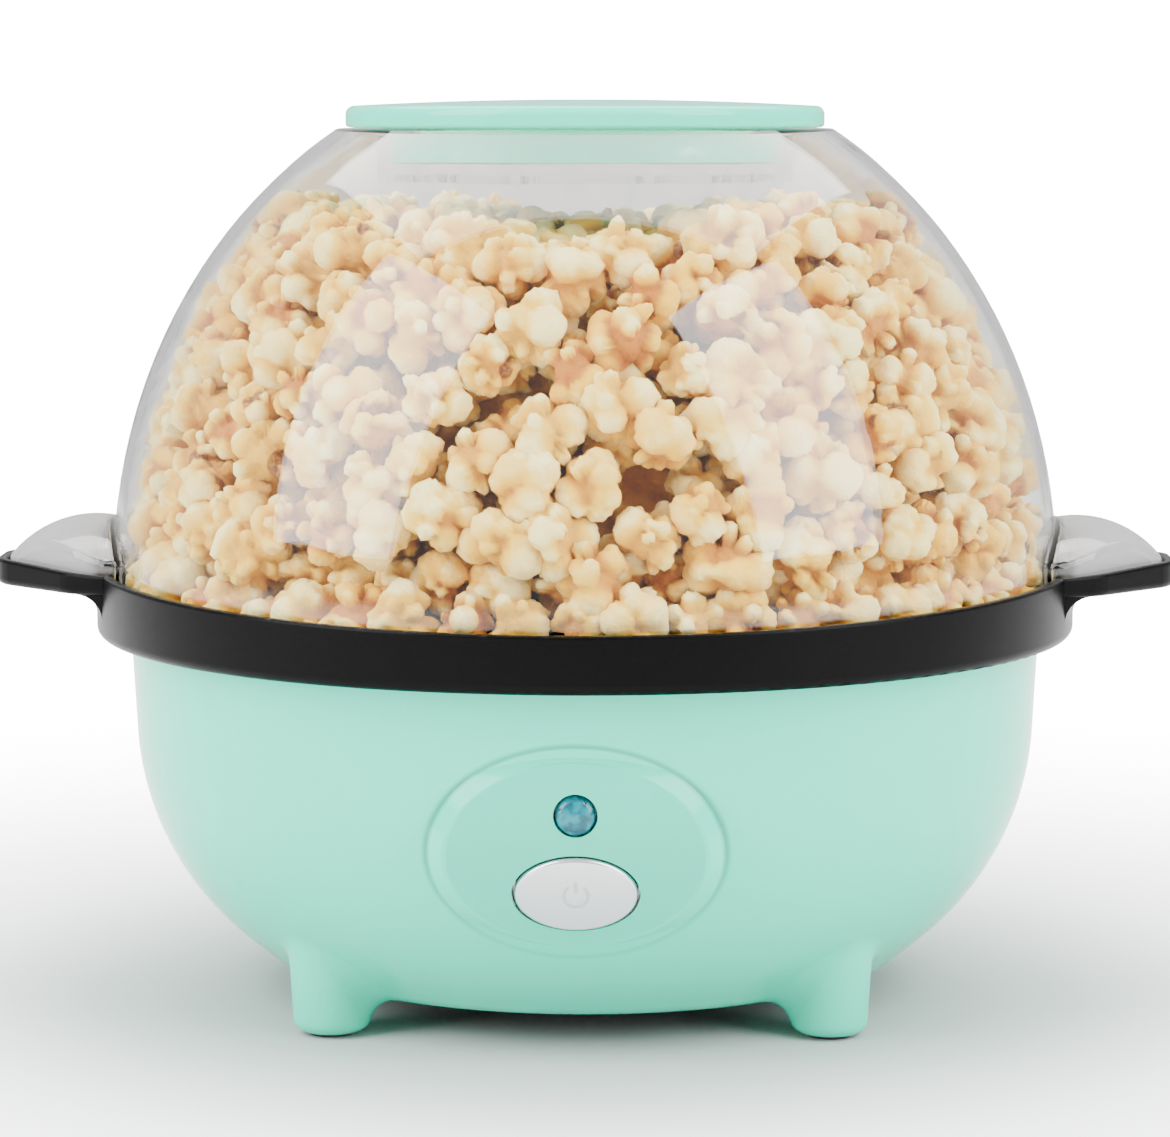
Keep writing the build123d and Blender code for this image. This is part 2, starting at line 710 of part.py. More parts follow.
def heating_pan():
    """The dished pan: screwed flange, sloping side, raised middle and shaft hole."""
    edge = pan_flange_radius
    top_line = FilletPolyline(
        (bush_outer, hub_seat_z), (pan_hub_radius, hub_seat_z), (pan_hub_radius, pan_middle_z),
        (pan_floor_radius, pan_floor_z), (pan_rim_radius, pan_flange_z), (edge, pan_flange_z),
        radius=[0.9, 1.4, 7.0, 1.2])
    lower_line = FilletPolyline(
        (bush_outer, hub_seat_z - pan_wall), (pan_hub_radius - pan_wall, hub_seat_z - pan_wall),
        (pan_hub_radius - pan_wall, pan_middle_z - pan_wall),
        (pan_floor_radius + 0.9, pan_floor_z - pan_wall), (pan_rim_radius + 1.7, pan_flange_z - pan_wall),
        (edge, pan_flange_z - pan_wall), radius=[0.5, 3.0, 9.0, 1.0])
    lines = (
        top_line + lower_line
        + Line((bush_outer, hub_seat_z), (bush_outer, hub_seat_z - pan_wall))
        + Line((edge, pan_flange_z), (edge, pan_flange_z - pan_wall))
    )
    pan = revolve(Plane.XZ * make_face(lines), axis=Axis.Z)
    for bearing in ear_bearings:
        x, y = polar(ear_circle, bearing)
        ear = post(x, y, pan_flange_z - pan_wall, pan_flange_z, pan_ear_radius)
        ear -= post(0, 0, 0, 200, pan_rim_radius + 3)
        pan += ear
        pan -= post(x, y, pan_flange_z - pan_wall - 1, pan_flange_z + 1, passing_radius)
    for bearing in fixing_bearings:
        x, y = polar(fixing_circle, bearing)
        pan -= post(x, y, pan_flange_z - pan_wall - 1, pan_flange_z + 1, screw_boss_radius + 0.6)
    return pan


def element_level():
    """Centre height of the heating tube."""
    return pan_surface(element_radius) - pan_wall - element_tube - fit_gap


def heating_element():
    """The tubular heating loop under the pan, with two turned-down cold pins."""
    z = element_level()
    start = -90 + (360 - element_arc) / 2
    first, last = polar(element_radius, start), polar(element_radius, start + element_arc)
    drop = element_tube + 1.5
    loop = CenterArc((0, 0, z), element_radius, start, element_arc)
    plane = Plane(origin=(first[0], first[1], z), z_dir=loop.tangent_at(0))
    tube = sweep(plane * Circle(element_tube), path=loop)
    for x, y in (first, last):
        tube += Pos(x, y, z) * Sphere(element_tube)
        tube += post(x, y, z - drop, z, element_tube)
        tube += post(x, y, z - drop - element_pin_length, z - drop + SLIVER, element_pin_radius)
    return tube


def element_clamps():
    """Three saddles that hold the heating loop up against the pan."""
    z = element_level()
    ceiling = pan_surface(element_radius) - pan_wall
    gap, wall, half = fit_gap, 1.4, 4.0
    outer = element_tube + gap + wall
    saddle = Pos(element_radius, 0, z) * Rot(90, 0, 0) * Cylinder(outer, 2 * half)
    saddle += Pos(element_radius, 0, (z + ceiling) / 2 - 0.5) * Box(2 * outer, 2 * half, ceiling - z - 1.2)
    saddle -= Pos(element_radius, 0, z) * Rot(90, 0, 0) * Cylinder(element_tube + gap, 4 * half)
    saddle -= Pos(element_radius, 0, z + 20) * Box(2 * (element_tube + gap), 4 * half, 40)
    saddle -= Pos(element_radius, 0, ceiling + 19.6) * Box(60, 4 * half, 40)
    return Compound(children=[saddle.rotate(Axis.Z, b) for b in (30, 90, 150, 210, 330)])


def heat_shield():
    """The dished plate between the pan and the motor."""
    edge = pan_floor_radius - shield_inset
    shield = plan_ring(0, edge, shield_z, shield_z + shield_rim_height)
    shield -= plan_ring(0, edge - shield_wall, shield_z + shield_wall, shield_z + 40)
    shield -= post(0, 0, shield_z - 1, shield_z + 5, coupling_radius + 1.2)
    for x, y in standoff_points:
        shield -= post(x, y, shield_z - 1, shield_z + 5, passing_radius)
    return shield


def standoffs():
    """The pillars between the shield and the pan, threaded for the motor screws."""
    pillars = []
    for x, y in standoff_points:
        top = pan_surface(standoff_circle) - pan_wall - 0.15
        pillar = post(x, y, shield_z + shield_wall, top, standoff_radius)
        pillars.append(pillar - post(x, y, shield_z, shield_z + 9, pilot_radius))
    return Compound(children=pillars)


def thermostat():
    """The round snap thermostat on the pan's underside."""
    x, y = polar(30, 150)
    top = pan_surface(30) - pan_wall - 0.35
    part = post(x, y, top - 1.2, top, 8.0) + post(x, y, top - 8.0, top - 1.2 + SLIVER, 7.0)
    for side in (-1, 1):
        part += Pos(x + side * 3.6, y, top - 11) * Box(0.8, 6.3, 6.4)
    return part


def thermal_fuse():
    """The thermal cut-out, lying in its sleeve under the pan."""
    x, y = polar(31, 30)
    z = pan_surface(34) - pan_wall - 2.9
    lie = Pos(x, y, z) * Rot(0, 0, 120) * Rot(0, 90, 0)
    return lie * (Cylinder(2.2, 12) + Cylinder(0.6, 22))


# ---------------------------------------------------------------- gear motor
def layer_low(index):
    """Underside of one gear layer, counted down from the cover plate."""
    return motor_top_z - motor_plate - gear_layer_gap * (index + 1) - gear_width * (index + 1)


def involute(angle):
    """The involute function of an angle."""
    return tan(angle) - angle


def gear(centre, teeth, low, high, phase, bore=0.0):
    """A spur gear with involute teeth, and a tooth centred on the phase bearing."""
    pitch = gear_module * teeth / 2
    base, tip, root = pitch * cos(radians(20)), pitch + 0.9 * gear_module, pitch - 1.3 * gear_module
    half = pi / (2 * teeth) * tooth_thinning + involute(radians(20))
    flank = [max(base, root) + (tip - max(base, root)) * share for share in (0, 0.35, 0.7, 1.0)]
    profile = [(root, half)] if root < base else []
    profile += [(r, half - involute(acos(min(1.0, base / r)))) for r in flank]
    corners = []
    for i in range(teeth):
        middle = radians(phase) + 2 * pi * i / teeth
        for r, a in profile:
            corners.append((r * cos(middle - a), r * sin(middle - a)))
        for r, a in reversed(profile):
            corners.append((r * cos(middle + a), r * sin(middle + a)))
    wheel = extrude(make_face(Polyline(*corners, close=True)), amount=high - low)
    wheel = Pos(centre[0], centre[1], low) * wheel
    return wheel - post(*centre, low - 1, high + 1, bore) if bore else wheel


def meshing_phase(bearing, teeth_a, phase_a, teeth_b):
    """Tooth phase of gear b, so that it meshes with gear a across the bearing."""
    share = ((bearing - phase_a) * teeth_a / 360) % 1
    return bearing + 180 - (0.5 - share) * 360 / teeth_b


def output_gear():
    """The last gear wheel, on the output shaft."""
    low = layer_low(0)
    wheel = gear((0, 0), wheel_teeth_output, low, low + gear_width, 0)
    return wheel + post(0, 0, middle_plate_z, coupling_z + coupling_length / 2 - 0.3, shaft_radius)


def middle_gear():
    """The compound gear between the rotor stage and the output wheel."""
    low, lower = layer_low(0), layer_low(1)
    phase = meshing_phase(middle_axle_bearing, wheel_teeth_output, 0, pinion_teeth_output)
    bore = axle_radius + shaft_clearance
    pinion = gear(middle_axle, pinion_teeth_output, low, low + gear_width, phase, bore)
    wheel = gear(middle_axle, wheel_teeth_middle, lower, lower + gear_width, 0, bore)
    neck = post(*middle_axle, lower + gear_width - SLIVER, low + SLIVER, 2.4)
    return pinion + wheel + (neck - post(*middle_axle, lower, low + 1, bore))


def rotor_stage_gear():
    """The compound gear driven by the rotor."""
    low, lower = layer_low(1), layer_low(2)
    phase = meshing_phase(rotor_stage_bearing, wheel_teeth_middle, 0, pinion_teeth_middle)
    bore = axle_radius + shaft_clearance
    pinion = gear(stage_axle, pinion_teeth_middle, low, low + gear_width, phase, bore)
    wheel = gear(stage_axle, wheel_teeth_rotor, lower, lower + gear_width, 0, bore)
    neck = post(*stage_axle, lower + gear_width - SLIVER, low + SLIVER, 2.4)
    return pinion + wheel + (neck - post(*stage_axle, lower, low + 1, bore))


def rotor():
    """The motor's magnet rotor, with its shaft and pinion."""
    low = layer_low(2)
    phase = meshing_phase(rotor_bearing, wheel_teeth_rotor, 0, pinion_teeth_rotor)
    pinion = gear(rotor_axle, pinion_teeth_rotor, low, low + gear_width, phase)
    magnet_top = middle_plate_z - gear_layer_gap
    magnet = post(*rotor_axle, magnet_top - rotor_height, magnet_top, rotor_radius)
    shaft = post(*rotor_axle, motor_bottom_z, low + gear_width + 0.4, axle_radius)
    return pinion + magnet + shaft


def gear_pins():
    """The fixed pins that the two compound gears run on."""
    low, high = middle_plate_z + 0.1, motor_top_z - 0.1
    return Compound(children=[post(*axle, low, high, axle_radius) for axle in (middle_axle, stage_axle)])


def motor_can():
    """The drawn can of the gear motor."""
    can = post(*rotor_axle, motor_bottom_z, motor_top_z - motor_plate, can_radius)
    can -= post(*rotor_axle, motor_bottom_z + motor_can_wall, motor_top_z, can_radius - motor_can_wall)
    return can - post(*rotor_axle, motor_bottom_z - 1, motor_bottom_z + 2, axle_radius + shaft_clearance)


def motor_middle_plate():
    """The plate between the rotor and the gears."""
    low = middle_plate_z
    plate = post(*rotor_axle, low, low + motor_plate, can_radius - motor_can_wall - 0.1)
    plate -= post(*rotor_axle, low - 1, low + 3, axle_radius + shaft_clearance)
    plate -= post(0, 0, low - 1, low + 3, shaft_radius + shaft_clearance)
    for axle in (middle_axle, stage_axle):
        plate -= post(*axle, low - 1, low + 3, axle_radius + 0.02)
    return plate


def motor_cover():
    """The motor's top plate, with three arms that carry it and the output bearing."""
    low = motor_top_z - motor_plate
    plate = post(*rotor_axle, low, motor_top_z, can_radius)
    for (x, y), bearing in zip(standoff_points, standoff_bearings):
        arm = Pos(standoff_circle / 2, 0, low + motor_plate / 2) * Box(
            standoff_circle, 2 * motor_ear_radius, motor_plate)
        plate += arm.rotate(Axis.Z, bearing)
        plate += post(x, y, low, motor_top_z, motor_ear_radius)
    for x, y in standoff_points:
        plate -= post(x, y, low - 1, motor_top_z + 1, passing_radius)
    plate += post(0, 0, motor_top_z - SLIVER, motor_top_z + 2.4, coupling_radius - 1)
    plate -= post(0, 0, low - 1, motor_top_z + 5, shaft_radius + shaft_clearance)
    for axle in (middle_axle, stage_axle):
        plate -= post(*axle, low - 1, motor_top_z + 1, axle_radius + 0.02)
    return plate


def stator_coil():
    """The ring-shaped winding."""
    top = middle_plate_z - gear_layer_gap
    inner = rotor_radius + pole_gap + pole_wall + coil_inner_gap
    ring = plan_ring(inner, inner + coil_thickness, top - rotor_height, top - 0.3)
    return fillet((Pos(*rotor_axle, 0) * ring).edges(), 0.8)


def stator_poles():
    """The claw poles between the winding and the rotor."""
    top = middle_plate_z - gear_layer_gap
    inner = rotor_radius + pole_gap
    claws = plan_ring(inner, inner + pole_wall, top - rotor_height, top)
    slots = 12
    for i in range(slots):
        cut = Pos(inner + 0.5, 0, top - rotor_height / 2 + (1.4 if i % 2 else -1.4)) * Box(4, 2.0, rotor_height)
        claws -= cut.rotate(Axis.Z, i * 360 / slots)
    return Pos(*rotor_axle, 0) * claws


# ---------------------------------------------------------------- stirrer
def shaft_bush():
    """The flanged bush in the pan's middle."""
    low = hub_seat_z - pan_wall
    bush = plan_ring(shaft_radius + shaft_clearance, bush_outer - 0.02, low - 2.5, hub_seat_z - 0.1)
    return bush + plan_ring(shaft_radius + shaft_clearance, 5.6, low - 2.5, low - 0.1)


def shaft_seal():
    """The seal ring between the pan's middle and the stirrer hub."""
    return plan_ring(shaft_radius + shaft_clearance, 6.4, hub_seat_z + 0.05, hub_seat_z + 0.7)


def shaft_coupling():
    """The sleeve that joins the motor shaft to the stirrer spindle."""
    sleeve = plan_ring(shaft_radius + 0.02, coupling_radius, coupling_z, coupling_z + coupling_length)
    return fillet(sleeve.edges().sort_by(SortBy.LENGTH)[-2:], 0.8)


def stir_spindle():
    """The spindle through the pan."""
    low = coupling_z + coupling_length / 2 + 0.3
    return post(0, 0, low, hub_low_z + 6.0, shaft_radius)


def stir_hub():
    """The domed hub that carries the stirring wire."""
    hub = post(0, 0, hub_low_z, hub_low_z + hub_height, hub_radius, hub_radius - 1.2)
    hub = fillet(hub.edges().group_by(Axis.Z)[-1], hub_round)
    hub = fillet(hub.edges().group_by(Axis.Z)[0], 0.8)
    hub -= post(0, 0, hub_low_z - 1, hub_low_z + 6.2, shaft_radius + 0.02)
    hole = Pos(0, 0, hub_low_z + rod_height) * Rot(0, 90, 0) * Cylinder(rod_radius + 0.03, 40)
    return hub - hole


def rod_points():
    """The corners of one arm of the wire, from the hub outwards."""
    top = hub_low_z + rod_height
    first, last = 26.0, pan_floor_radius - rod_side_gap - 6.0
    rise = rod_floor_gap + rod_radius
    return [
        (hub_radius + 3.5, 0, top),
        (first, rod_sweep * 0.2, pan_surface(first) + rise),
        (last, rod_sweep, pan_surface(last) + rise),
        (last + 8.0, rod_sweep * 1.3, pan_surface(last) + rise + rod_tip_rise),
    ]


def stir_rod():
    """The bent stirring wire, the same on both sides of the hub."""
    arm = rod_points()
    other = [(-x, -y, z) for x, y, z in reversed(arm)]
    path = FilletPolyline(*other, *arm, radius=4.0)
    start = Plane(origin=path @ 0, z_dir=path % 0)
    rod = sweep(start * Circle(rod_radius), path=path)
    for x, y, z in (other[0], arm[-1]):
        rod += Pos(x, y, z) * Sphere(rod_radius)
    return rod


# ---------------------------------------------------------------- button, lens, inlet
def power_button():
    """The oval push button, with a domed face and a retaining flange."""
    face_y = -panel_face_y(button_z) - button_proud
    tilt = radians(button_face_tilt)
    centre_y = face_y + button_face_radius * cos(tilt)
    centre_z = button_z + button_face_radius * sin(tilt)
    key = plug_along_y(0, button_z, button_half_width, button_half_height, face_y - 20, button_back_y)
    key &= Pos(0, centre_y, centre_z) * Sphere(button_face_radius)
    rim = key.edges().filter_by(lambda e: e.center().Y < button_back_y - 1 and e.length > 20)
    key = fillet(rim, button_edge)
    flange = button_half_width + panel_gap + button_flange_lap, button_half_height + panel_gap + 0.6
    key += plug_along_y(0, button_z, *flange, button_back_y - button_flange, button_back_y)
    return key + plug_along_y(0, button_z, button_stem_radius, button_stem_radius,
                              button_back_y - SLIVER, bracket_y - 1.3)


def button_spring():
    """The coil spring that pushes the button out."""
    start, end = button_back_y + spring_wire + 0.1, bracket_y - spring_wire - 0.1
    radius = button_stem_radius + 1.2
    coil = Helix(pitch=(end - start) / spring_turns, height=end - start, radius=radius)
    section = Plane(origin=coil @ 0, z_dir=coil % 0) * Circle(spring_wire)
    spring = sweep(section, path=coil, is_frenet=True)
    return Pos(0, start, button_z) * Rot(-90, 0, 0) * spring


def switch_bracket():
    """The plate that carries the switch and the indicator lamp."""
    low, high = button_z - 11, lens_z + 5
    plate = Pos(0, bracket_y + 1, (low + high) / 2) * Box(2 * bracket_post_x + 9, 2, high - low)
    plate = fillet(plate.edges().filter_by(Axis.Y), 3.0)
    plate -= plug_along_y(0, button_z, button_stem_radius + 0.6, button_stem_radius + 0.6,
                          bracket_y - 1, bracket_y + 3)
    plate -= plug_along_y(0, lens_z - 1, 1.7, 1.7, bracket_y - 1, bracket_y + 3)
    for side in (-1, 1):
        plate -= plug_along_y(side * bracket_post_x, bracket_post_z, passing_radius, passing_radius,
                              bracket_y - 1, bracket_y + 3)
    return plate


def bracket_screws():
    """The two screws of the switch bracket."""
    back = bracket_y + 2
    screws = []
    for side in (-1, 1):
        x = side * bracket_post_x
        shank = plug_along_y(x, bracket_post_z, screw_radius, screw_radius, bracket_y - 6, back + SLIVER)
        screws.append(shank + plug_along_y(x, bracket_post_z, screw_head_radius, screw_head_radius,
                                           back, back + screw_head))
    return Compound(children=screws)


def push_switch():
    """The push switch behind the button."""
    front = bracket_y + 2
    body = Pos(0, front + 7, button_z) * Box(20, 14, 15)
    body = fillet(body.edges().filter_by(Axis.Y), 1.2)
    for side in (-1, 1):
        body += Pos(side * 6, front + 16, button_z) * Box(0.8, 6, 5)
    return body


def indicator_lens():
    """The clear tinted lens of the indicator, with a flange behind the panel."""
    front = -panel_face_y(lens_z) - lens_proud
    flange_y = -panel_face_y(lens_z - lens_radius - lens_flange) + housing_wall + 0.2
    lens = plug_along_y(0, lens_z, lens_radius, lens_radius, front, flange_y + 1.2)
    lens = chamfer(lens.edges().sort_by(Axis.Y)[0], 1.1)
    lens += plug_along_y(0, lens_z, lens_radius + lens_flange, lens_radius + lens_flange,
                         flange_y, flange_y + 1.2)
    return lens


def indicator_lamp():
    """The small lamp behind the lens, on its own leads."""
    lamp = plug_along_y(0, lens_z - 1, 2.5, 2.5, bracket_y - 6, bracket_y - 0.1)
    lamp += Pos(0, bracket_y - 6, lens_z - 1) * Sphere(2.5)
    lamp += plug_along_y(0, lens_z - 1, 3.0, 3.0, bracket_y - 1.1, bracket_y - 0.1)
    return lamp + plug_along_y(0, lens_z - 1, 1.5, 1.5, bracket_y - 0.2, bracket_y + 6)


def cord_gland():
    """The grommet in the cord inlet; the cord itself is not part of the model."""
    start, end = inlet_y - inlet_boss_depth, inlet_y + inlet_boss_stand
    gland = plug_along_y(0, inlet_z, gland_neck_radius, gland_neck_radius, start - 2.2, end + gland_flange)
    collar = plug_along_y(0, inlet_z, gland_flange_radius, gland_flange_radius, end, end + gland_flange)
    gland += fillet(collar.edges().sort_by(Axis.Y)[-1], 0.9)
    gland += plug_along_y(0, inlet_z, gland_neck_radius + 1.0, gland_neck_radius + 1.0, start - 2.2, start)
    return gland - plug_along_y(0, inlet_z, gland_bore_radius, gland_bore_radius, start - 5, end + 5)


def terminal_block():
    """The mains terminal block, standing on the bottom cover."""
    x, y = 0, 40
    block = Pos(x, y, cover_top_z + 6) * Box(26, 12, 12)
    for i in range(3):
        block -= post(x + 8 * (i - 1), y, cover_top_z + 8, cover_top_z + 14, 1.8)
        block -= plug_along_y(x + 8 * (i - 1), cover_top_z + 4, 1.6, 1.6, y - 8, y + 8)
    return block


# ---------------------------------------------------------------- underside and fasteners
def bottom_cover():
    """The vented plate that closes the housing from below."""
    low = cover_top_z - cover_wall
    cover = plan_ring(0, cover_radius, low, cover_top_z)
    cover = fillet(cover.edges().group_by(Axis.Z)[0], 0.6)
    for i in range(cover_vents):
        for radius, length in ((24, 16),):
            slot = Pos(radius + length / 2, 0, low) * extrude(SlotOverall(length, 3.2), amount=10, both=True)
            cover -= slot.rotate(Axis.Z, (i + 0.5) * 360 / cover_vents)
    for bearing in ear_bearings:
        x, y = polar(cover_screw_circle, bearing)
        cover -= post(x, y, low - 1, cover_top_z + 1, passing_radius)
    return cover


def upright_screws(circle, bearings, head_z, length):
    """Identical screws driven upwards, with their heads' upper faces at head_z."""
    screws = []
    for bearing in bearings:
        x, y = polar(circle, bearing)
        head = post(x, y, head_z - screw_head, head_z, screw_head_radius)
        head = fillet(head.edges().group_by(Axis.Z)[0], 0.6)
        head -= Pos(x, y, head_z - screw_head) * Box(3.4, 0.7, 1.6)
        head -= Pos(x, y, head_z - screw_head) * Box(0.7, 3.4, 1.6)
        screws.append(head + post(x, y, head_z - SLIVER, head_z + length, screw_radius))
    return Compound(children=screws)


def rubber_feet():
    """The four rubber feet."""
    feet = []
    for bearing in leg_bearings:
        x, y = polar(leg_circle, bearing)
        foot = post(x, y, 0, foot_stand + foot_depth - 0.05, foot_radius)
        feet.append(fillet(foot.edges().group_by(Axis.Z)[0], 0.5))
    return Compound(children=feet)


NODES = {
    "base_housing": base_housing,
    "base_ring": base_ring,
    "clear_bowl": clear_bowl,
    "measuring_cap": measuring_cap,
    "heating_pan": heating_pan,
    "heating_element": heating_element,
    "element_clamps": element_clamps,
    "heat_shield": heat_shield,
    "standoffs": standoffs,
    "thermostat": thermostat,
    "thermal_fuse": thermal_fuse,
    "motor_can": motor_can,
    "motor_middle_plate": motor_middle_plate,
    "motor_cover": motor_cover,
    "stator_coil": stator_coil,
    "stator_poles": stator_poles,
    "rotor": rotor,
    "rotor_stage_gear": rotor_stage_gear,
    "middle_gear": middle_gear,
    "output_gear": output_gear,
    "gear_pins": gear_pins,
    "shaft_coupling": shaft_coupling,
    "shaft_bush": shaft_bush,
    "shaft_seal": shaft_seal,
    "stir_spindle": stir_spindle,
    "stir_hub": stir_hub,
    "stir_rod": stir_rod,
    "power_button": power_button,
    "button_spring": button_spring,
    "push_switch": push_switch,
    "switch_bracket": switch_bracket,
    "bracket_screws": bracket_screws,
    "indicator_lens": indicator_lens,
    "indicator_lamp": indicator_lamp,
    "cord_gland": cord_gland,
    "terminal_block": terminal_block,
    "bottom_cover": bottom_cover,
    "rubber_feet": rubber_feet,
}

if __name__ == "__main__":
    for node, build in NODES.items():
        write(node, build())
    write("bottom_screws", upright_screws(cover_screw_circle, ear_bearings, cover_top_z - cover_wall, 9.5))
    write("ring_screws", upright_screws(fixing_circle, fixing_bearings, tab_top_z - tab_wall, 10.0))
    write("pan_screws", upright_screws(ear_circle, ear_bearings, pan_flange_z - pan_wall, 4.6))
    write("motor_screws", upright_screws(standoff_circle, standoff_bearings, motor_top_z - motor_plate, 9.0))
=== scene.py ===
"""Looks of a stirring popcorn maker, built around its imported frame.

Lengths are in metres and the Z axis points up, as in the frame. The control panel faces
-Y and the two carrying handles lie along X.
"""

import logging
import math
from dataclasses import dataclass
from enum import Enum
from typing import ClassVar

import bpy
import numpy as np
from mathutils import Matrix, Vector


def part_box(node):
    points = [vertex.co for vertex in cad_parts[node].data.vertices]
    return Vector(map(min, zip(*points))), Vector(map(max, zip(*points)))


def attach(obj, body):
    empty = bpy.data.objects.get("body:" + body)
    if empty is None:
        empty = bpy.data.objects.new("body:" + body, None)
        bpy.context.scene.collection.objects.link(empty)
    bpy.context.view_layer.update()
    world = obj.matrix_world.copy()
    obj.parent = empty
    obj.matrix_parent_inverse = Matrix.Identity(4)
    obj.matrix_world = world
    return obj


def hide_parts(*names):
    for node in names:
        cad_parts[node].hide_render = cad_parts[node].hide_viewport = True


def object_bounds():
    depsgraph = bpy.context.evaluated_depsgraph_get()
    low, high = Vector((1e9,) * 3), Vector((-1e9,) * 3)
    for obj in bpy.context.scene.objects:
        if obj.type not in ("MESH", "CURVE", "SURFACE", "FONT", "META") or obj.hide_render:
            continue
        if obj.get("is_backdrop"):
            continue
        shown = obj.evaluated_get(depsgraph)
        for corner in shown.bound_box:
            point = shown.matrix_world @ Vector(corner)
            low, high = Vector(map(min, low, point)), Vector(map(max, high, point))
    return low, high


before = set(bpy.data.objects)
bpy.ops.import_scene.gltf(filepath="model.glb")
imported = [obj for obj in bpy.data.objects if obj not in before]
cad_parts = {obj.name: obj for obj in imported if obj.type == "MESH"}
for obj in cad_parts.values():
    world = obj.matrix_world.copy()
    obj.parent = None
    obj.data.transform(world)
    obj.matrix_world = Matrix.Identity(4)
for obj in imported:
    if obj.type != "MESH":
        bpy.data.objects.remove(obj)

LOG = logging.getLogger("popcorn_maker")
Colour = tuple[float, float, float]
Socket = bpy.types.NodeSocket


# Node graphs
class Graph:
    """A node tree that is filled in with short calls."""

    def __init__(self, tree: bpy.types.NodeTree) -> None:
        """Wraps a tree.

        Args:
            tree: The node tree to fill in.
        """
        self.tree = tree

    def add(self, kind: str, inputs: dict | None = None, **settings: object) -> bpy.types.Node:
        """Adds a node.

        Args:
            kind: The node's type name.
            inputs: Input socket name or index, and the value or the socket that feeds it.
            settings: Properties of the node itself.

        Returns:
            The new node.
        """
        node = self.tree.nodes.new(kind)
        for key, value in settings.items():
            setattr(node, key, value)
        for key, value in (inputs or {}).items():
            if isinstance(value, Socket):
                self.tree.links.new(value, node.inputs[key])
            else:
                node.inputs[key].default_value = value
        return node

    def math(self, operation: str, a: object, b: object = 0.0) -> Socket:
        """Adds a Math node.

        Args:
            operation: The Math node's operation.
            a: First value or socket.
            b: Second value or socket.

        Returns:
            The result's socket.
        """
        return self.add("ShaderNodeMath", {0: a, 1: b}, operation=operation).outputs[0]

    def span(self, value: Socket, low: float, high: float,
             start: float = 0.0, end: float = 1.0) -> Socket:
        """Maps a value from low and high to start and end, smoothly and clamped.

        Args:
            value: The socket to map.
            low: Value that gives start.
            high: Value that gives end.
            start: Result at low.
            end: Result at high.

        Returns:
            The mapped value's socket.
        """
        inputs = {"Value": value, "From Min": low, "From Max": high, "To Min": start, "To Max": end}
        return self.add("ShaderNodeMapRange", inputs, interpolation_type="SMOOTHSTEP").outputs[0]

    def blend(self, share: object, first: object, second: object) -> Socket:
        """Mixes two colours.

        Args:
            share: Share of the second colour.
            first: First colour or socket.
            second: Second colour or socket.

        Returns:
            The mixed colour's socket.
        """
        node = self.add("ShaderNodeMix", {0: share}, data_type="RGBA")
        for index, colour in ((6, first), (7, second)):
            if isinstance(colour, Socket):
                self.tree.links.new(colour, node.inputs[index])
            else:
                node.inputs[index].default_value = (*colour, 1.0)
        return node.outputs[2]

    def place(self) -> Socket:
        """Adds the Object coordinates.

        Returns:
            The coordinates' socket.
        """
        return self.add("ShaderNodeTexCoord").outputs["Object"]

    def noise(self, scale: object, detail: float = 2.0, roughness: float = 0.5,
              vector: object = None) -> Socket:
        """Adds a Noise Texture on Object coordinates.

        Args:
            scale: Scale value or socket, in waves per metre.
            detail: Octaves.
            roughness: Share of the finer octaves.
            vector: Coordinates to read in place of the Object coordinates.

        Returns:
            The noise factor's socket.
        """
        place = self.place() if vector is None else vector
        inputs = {"Vector": place, "Scale": scale, "Detail": detail, "Roughness": roughness}
        return self.add("ShaderNodeTexNoise", inputs).outputs["Fac"]

    def product(self, *values: object) -> Socket:
        """Multiplies values and sockets, from the left.

        Args:
            values: Two or more values or sockets.

        Returns:
            The product's socket.
        """
        total = values[0]
        for value in values[1:]:
            total = self.math("MULTIPLY", total, value)
        return total

    def length(self, a: Socket, b: Socket) -> Socket:
        """Gives the root of the sum of two squares.

        Args:
            a: First value's socket.
            b: Second value's socket.

        Returns:
            The length's socket.
        """
        return self.math("SQRT", self.math("ADD", self.math("POWER", a, 2.0), self.math("POWER", b, 2.0)))

    def parts(self) -> bpy.types.NodeOutputs:
        """Splits the Object coordinates.

        Returns:
            The outputs X, Y and Z.
        """
        return self.add("ShaderNodeSeparateXYZ", {0: self.place()}).outputs

    def bump(self, strength: float, height: Socket,
             distance: float = 0.0002) -> Socket:
        """Adds a Bump node.

        Args:
            strength: The bump's strength.
            height: The height's socket.
            distance: The height's reach, in metres.

        Returns:
            The normal's socket.
        """
        inputs = {"Strength": strength, "Distance": distance, "Height": height}
        return self.add("ShaderNodeBump", inputs).outputs[0]

    def principled(self, inputs: dict) -> Socket:
        """Adds a Principled shader.

        Args:
            inputs: Input names and their values or sockets.

        Returns:
            The shader's socket.
        """
        return self.add("ShaderNodeBsdfPrincipled", inputs).outputs[0]


